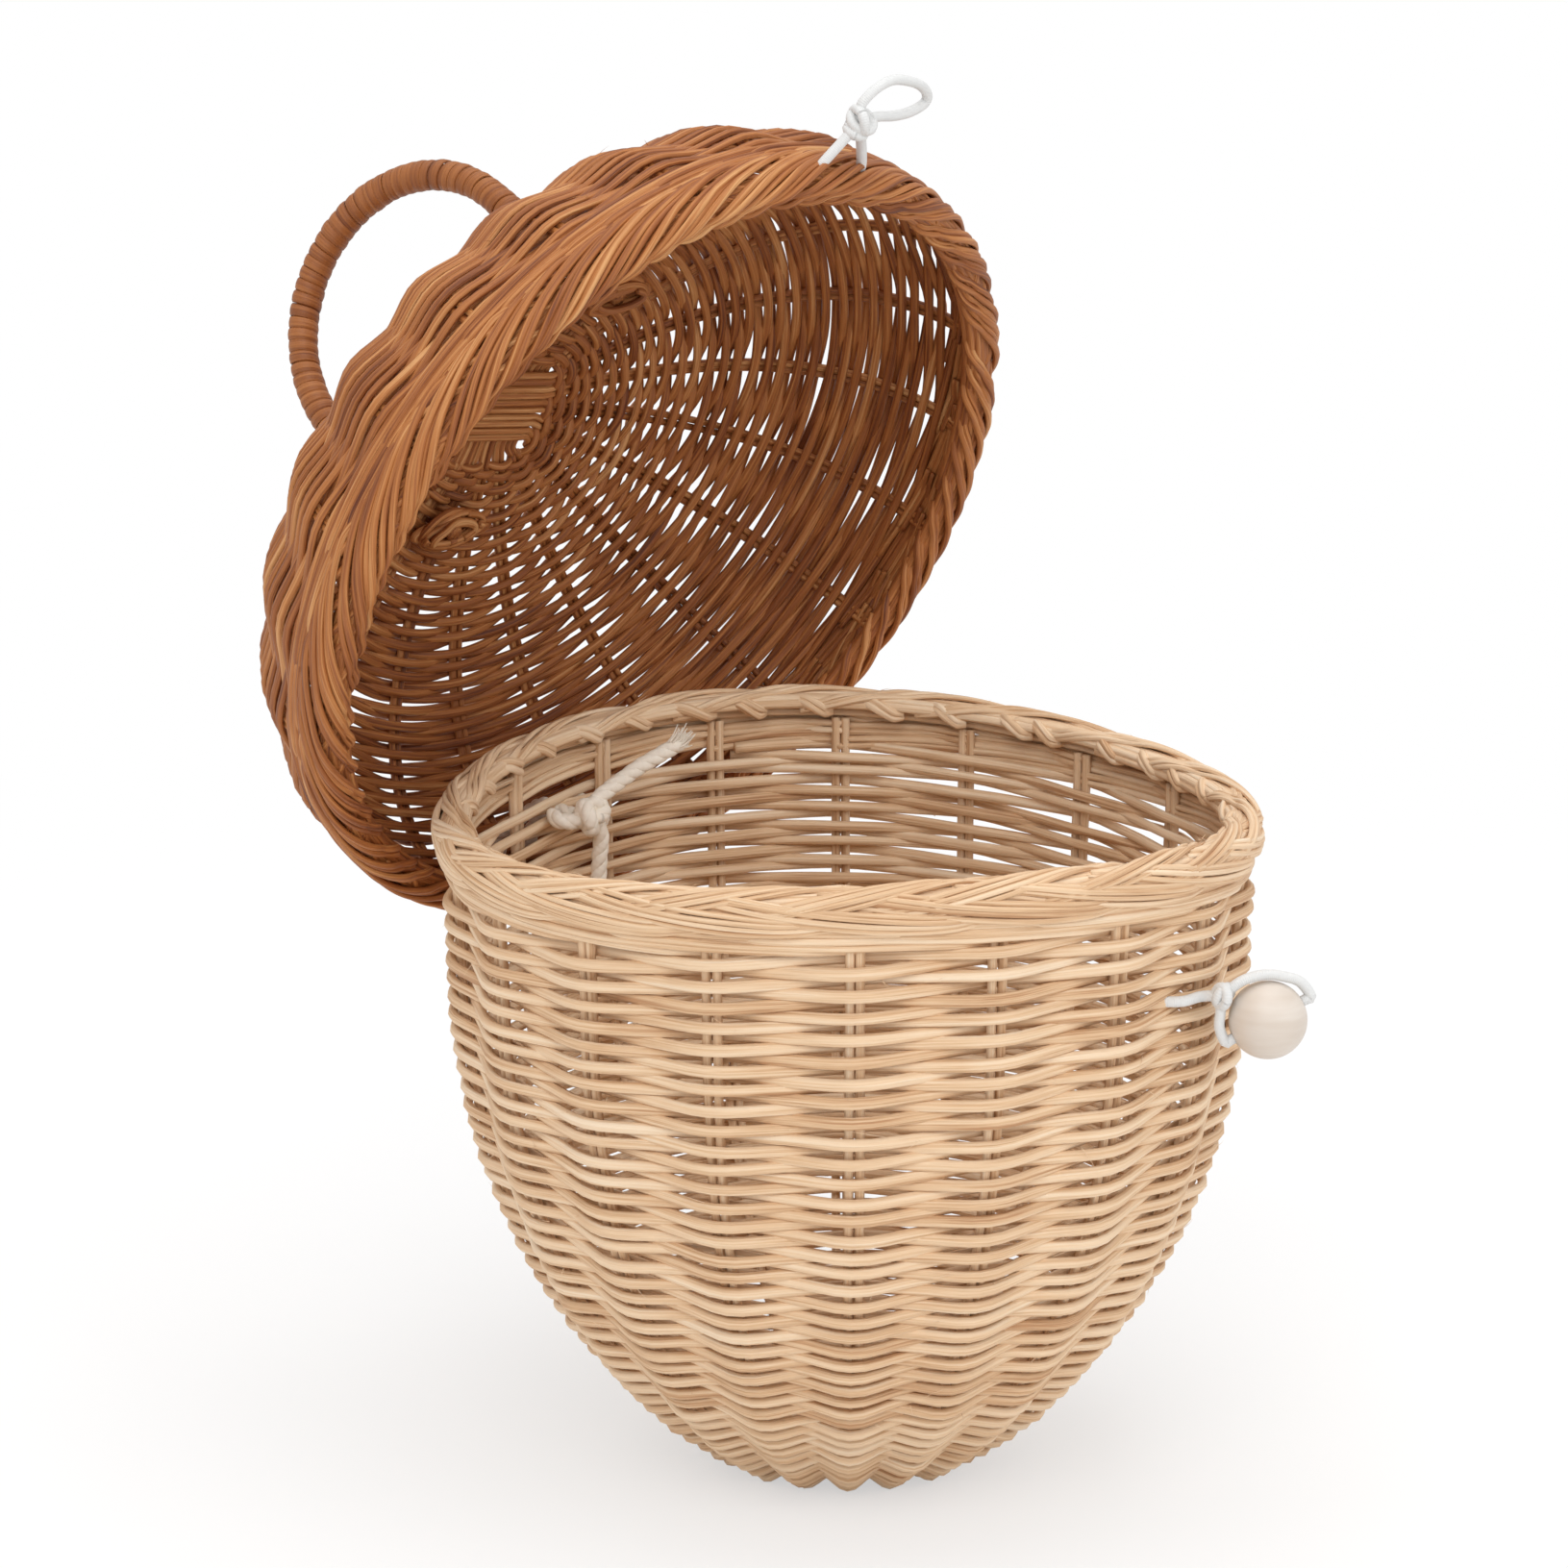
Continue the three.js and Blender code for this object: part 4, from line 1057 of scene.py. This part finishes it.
def at_wall(x, inside):
    """A place at the back of the body, from the wall's outer face."""
    return np.array([x, wall_r - inside, TIE_Z])


shape = Shape()
knot(shape, tie_at(-0.8, 8.8, 0.6), [0.9, 0.15, 0.5], TIE_R, 5.6, PLIES, 0.7)
knot(shape, tie_at(1.2, 8.6, 0.2), [0.4, 0.3, -0.9], TIE_R, 4.9, PLIES, 0.2)
hanging_tail = [
    tie_at(1.0, 9.4, -1),
    tie_at(3.2, 9.2, -6),
    tie_at(3.4, 8.4, -12),
    tie_at(3.6, 7.6, -19),
    tie_at(3.2, 7.2, -26),
]
to_wall = [
    tie_at(-0.5, 8.6, 0.5),
    tie_at(-5.2, 7.2, -0.6),
    tie_at(-7.8, 4.4, -0.4),
    tie_at(-6.4, 0.2, 0.2),
]
shape.cord(curve(hanging_tail, TIE_STEP), TIE_R, PLIES, PITCH)
shape.cord(curve(to_wall, TIE_STEP), TIE_R, PLIES, PITCH)
shape.piece("hinge_tie_knotted", cotton, "basket", "cotton", ["hinge_tie_knot"])

tail_points = [
    tie_at(0.8, 9.4, 4.2),
    tie_at(4.6, 9.8, 6.4),
    tie_at(10, 10.4, 8.8),
    tie_at(16, 11.4, 11.6),
    tie_at(22.6, 13.6, 14.6),
    tie_at(27.4, 15.6, 17),
]
tail_path = curve(tail_points, TIE_STEP)
shape = Shape()
shape.cord(tail_path, TIE_R, PLIES, PITCH)
tail = shape.piece("hinge_tie_tail", cotton, "basket", "cotton", ["hinge_tie_tail_up"])


def frayed_end(shape, end, way):
    """Loose fibres past the end of a cotton cord, spread and curling up."""
    t = np.linspace(0, 1, 8)[:, None]
    size = 1.1 - 0.7 * t[:, 0]
    for _ in range(90):
        spread = rng.normal(0, 1, 3)
        run = rng.uniform(2.4, 5.4)
        lifted = way * run * t + spread * 0.55 * t + np.array([-0.3, 0, 1]) * rng.uniform(0, 1.9) * t**2
        fibre = end - way * 2 + spread * 0.75 + lifted
        shape.tube(fibre, unit(spread) + 0 * fibre, 0.34 * size, 0.3 * size, 5)


shape = Shape()
frayed_end(shape, tail_path[-1], unit(tail_path[-1] - tail_path[-4]))
fray = shape.piece("hinge_tie_fray", cotton, "basket", "cotton", ["hinge_tie_tail_up"])

link = [
    at_wall(LINK_RIGHT, 9.6),
    at_wall(LINK_RIGHT, 3.75),
    at_wall(LINK_RIGHT, -2.9),
    open_lid(SPLIT - 1, DOME_IN - 9),
    open_lid(SPLIT, DOME_IN - 2.5),
    open_lid(SPLIT, DOME_IN + 2),
    open_lid(SPLIT, DOME_R + 1.8),
    open_lid(SPLIT / 2, DOME_R + 3.4),
    open_lid(-SPLIT / 2, DOME_R + 3.4),
    open_lid(-SPLIT, DOME_R + 1.8),
    open_lid(-SPLIT, DOME_IN + 2),
    open_lid(-SPLIT, DOME_IN - 2.5),
    open_lid(-SPLIT - 1, DOME_IN - 9),
    at_wall(LINK_LEFT, -2.9),
    at_wall(LINK_LEFT, 3.75),
    at_wall(LINK_LEFT, 10.8),
]
shape = Shape()
shape.cord(curve(link, CORD_STEP), LINK_R, PLIES, PITCH)
strand = shape.piece("hinge_tie_strand", cotton, "basket", "cotton", ["hinge_tie_link"], ride=False)
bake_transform(strand)


# Floor, light and background
FLOOR_HALF, FLOOR_Z = 6000, -0.4
# The floor's own glow grows from this share near the object to all of it far off
GLOW_NEAR, NEAR, FAR = 0.55, 0.2, 0.8
WORLD_LIGHT = 0.78
LAMP_AIM = np.array([0, 0, 0.17])
LAMPS = (
    ("key", (-1.4, -1.0, 1.7), 1.3, 13),
    ("fill", (0.4, -2.3, 1.2), 1.6, 8),
    ("top", (0.1, 0.1, 2.4), 1.6, 18),
)


def make_floor():
    """A white floor that keeps a faint shadow near the object and fades into the background."""
    n = Nodes(bpy.data.materials.new("floor"))
    path = n.add("ShaderNodeLightPath")
    seen = n.maths("ADD", path.outputs["Is Camera Ray"], path.outputs["Is Glossy Ray"], clamp=True)
    seen = n.maths("ADD", seen, path.outputs["Is Transmission Ray"], clamp=True)
    lit = n.add("ShaderNodeBsdfDiffuse", {"Color": (0.9, 0.9, 0.9, 1)})
    glow = n.add("ShaderNodeEmission", {"Color": (1, 1, 1, 1), "Strength": 1.0})
    away = n.add("ShaderNodeVectorMath", {0: n.object_place()}, operation="LENGTH").outputs["Value"]
    ends = {1: NEAR, 2: FAR, 3: GLOW_NEAR, 4: 1.0}
    share = n.add("ShaderNodeMapRange", {0: away, **ends}, interpolation_type="SMOOTHSTEP")
    glowing = n.maths("MULTIPLY", seen, share.outputs[0])
    n.show(n.add("ShaderNodeMixShader", {0: glowing, 1: lit.outputs[0], 2: glow.outputs[0]}))
    corners = [(x * FLOOR_HALF, y * FLOOR_HALF, FLOOR_Z) for x, y in ((-1, -1), (1, -1), (1, 1), (-1, 1))]
    floor = add_mesh("floor", corners, [(0, 1, 2, 3)], n.owner)


def make_world():
    """White to the camera, and a little less bright as a light."""
    world = bpy.data.worlds.new("world")
    bpy.context.scene.world = world
    n = Nodes(world, "ShaderNodeOutputWorld")
    path = n.add("ShaderNodeLightPath")
    seen = n.maths("ADD", path.outputs["Is Camera Ray"], path.outputs["Is Transmission Ray"], clamp=True)
    strength = n.maths("MULTIPLY_ADD", seen, 1 - WORLD_LIGHT, WORLD_LIGHT)
    n.show(n.add("ShaderNodeBackground", {"Color": (1, 1, 1, 1), "Strength": strength}))


def make_lamps():
    for name, place, size, power in LAMPS:
        data = bpy.data.lights.new(name, "AREA")
        data.size, data.energy = size, power
        lamp = bpy.data.objects.new(name, data)
        lamp.location = place
        x, y, z = LAMP_AIM - place
        lamp.rotation_euler = (math.atan2(math.hypot(x, y), -z), 0, math.atan2(-x, y))
        bpy.context.scene.collection.objects.link(lamp)


make_floor()
make_world()
make_lamps()
bpy.context.scene.view_settings.view_transform = "Standard"
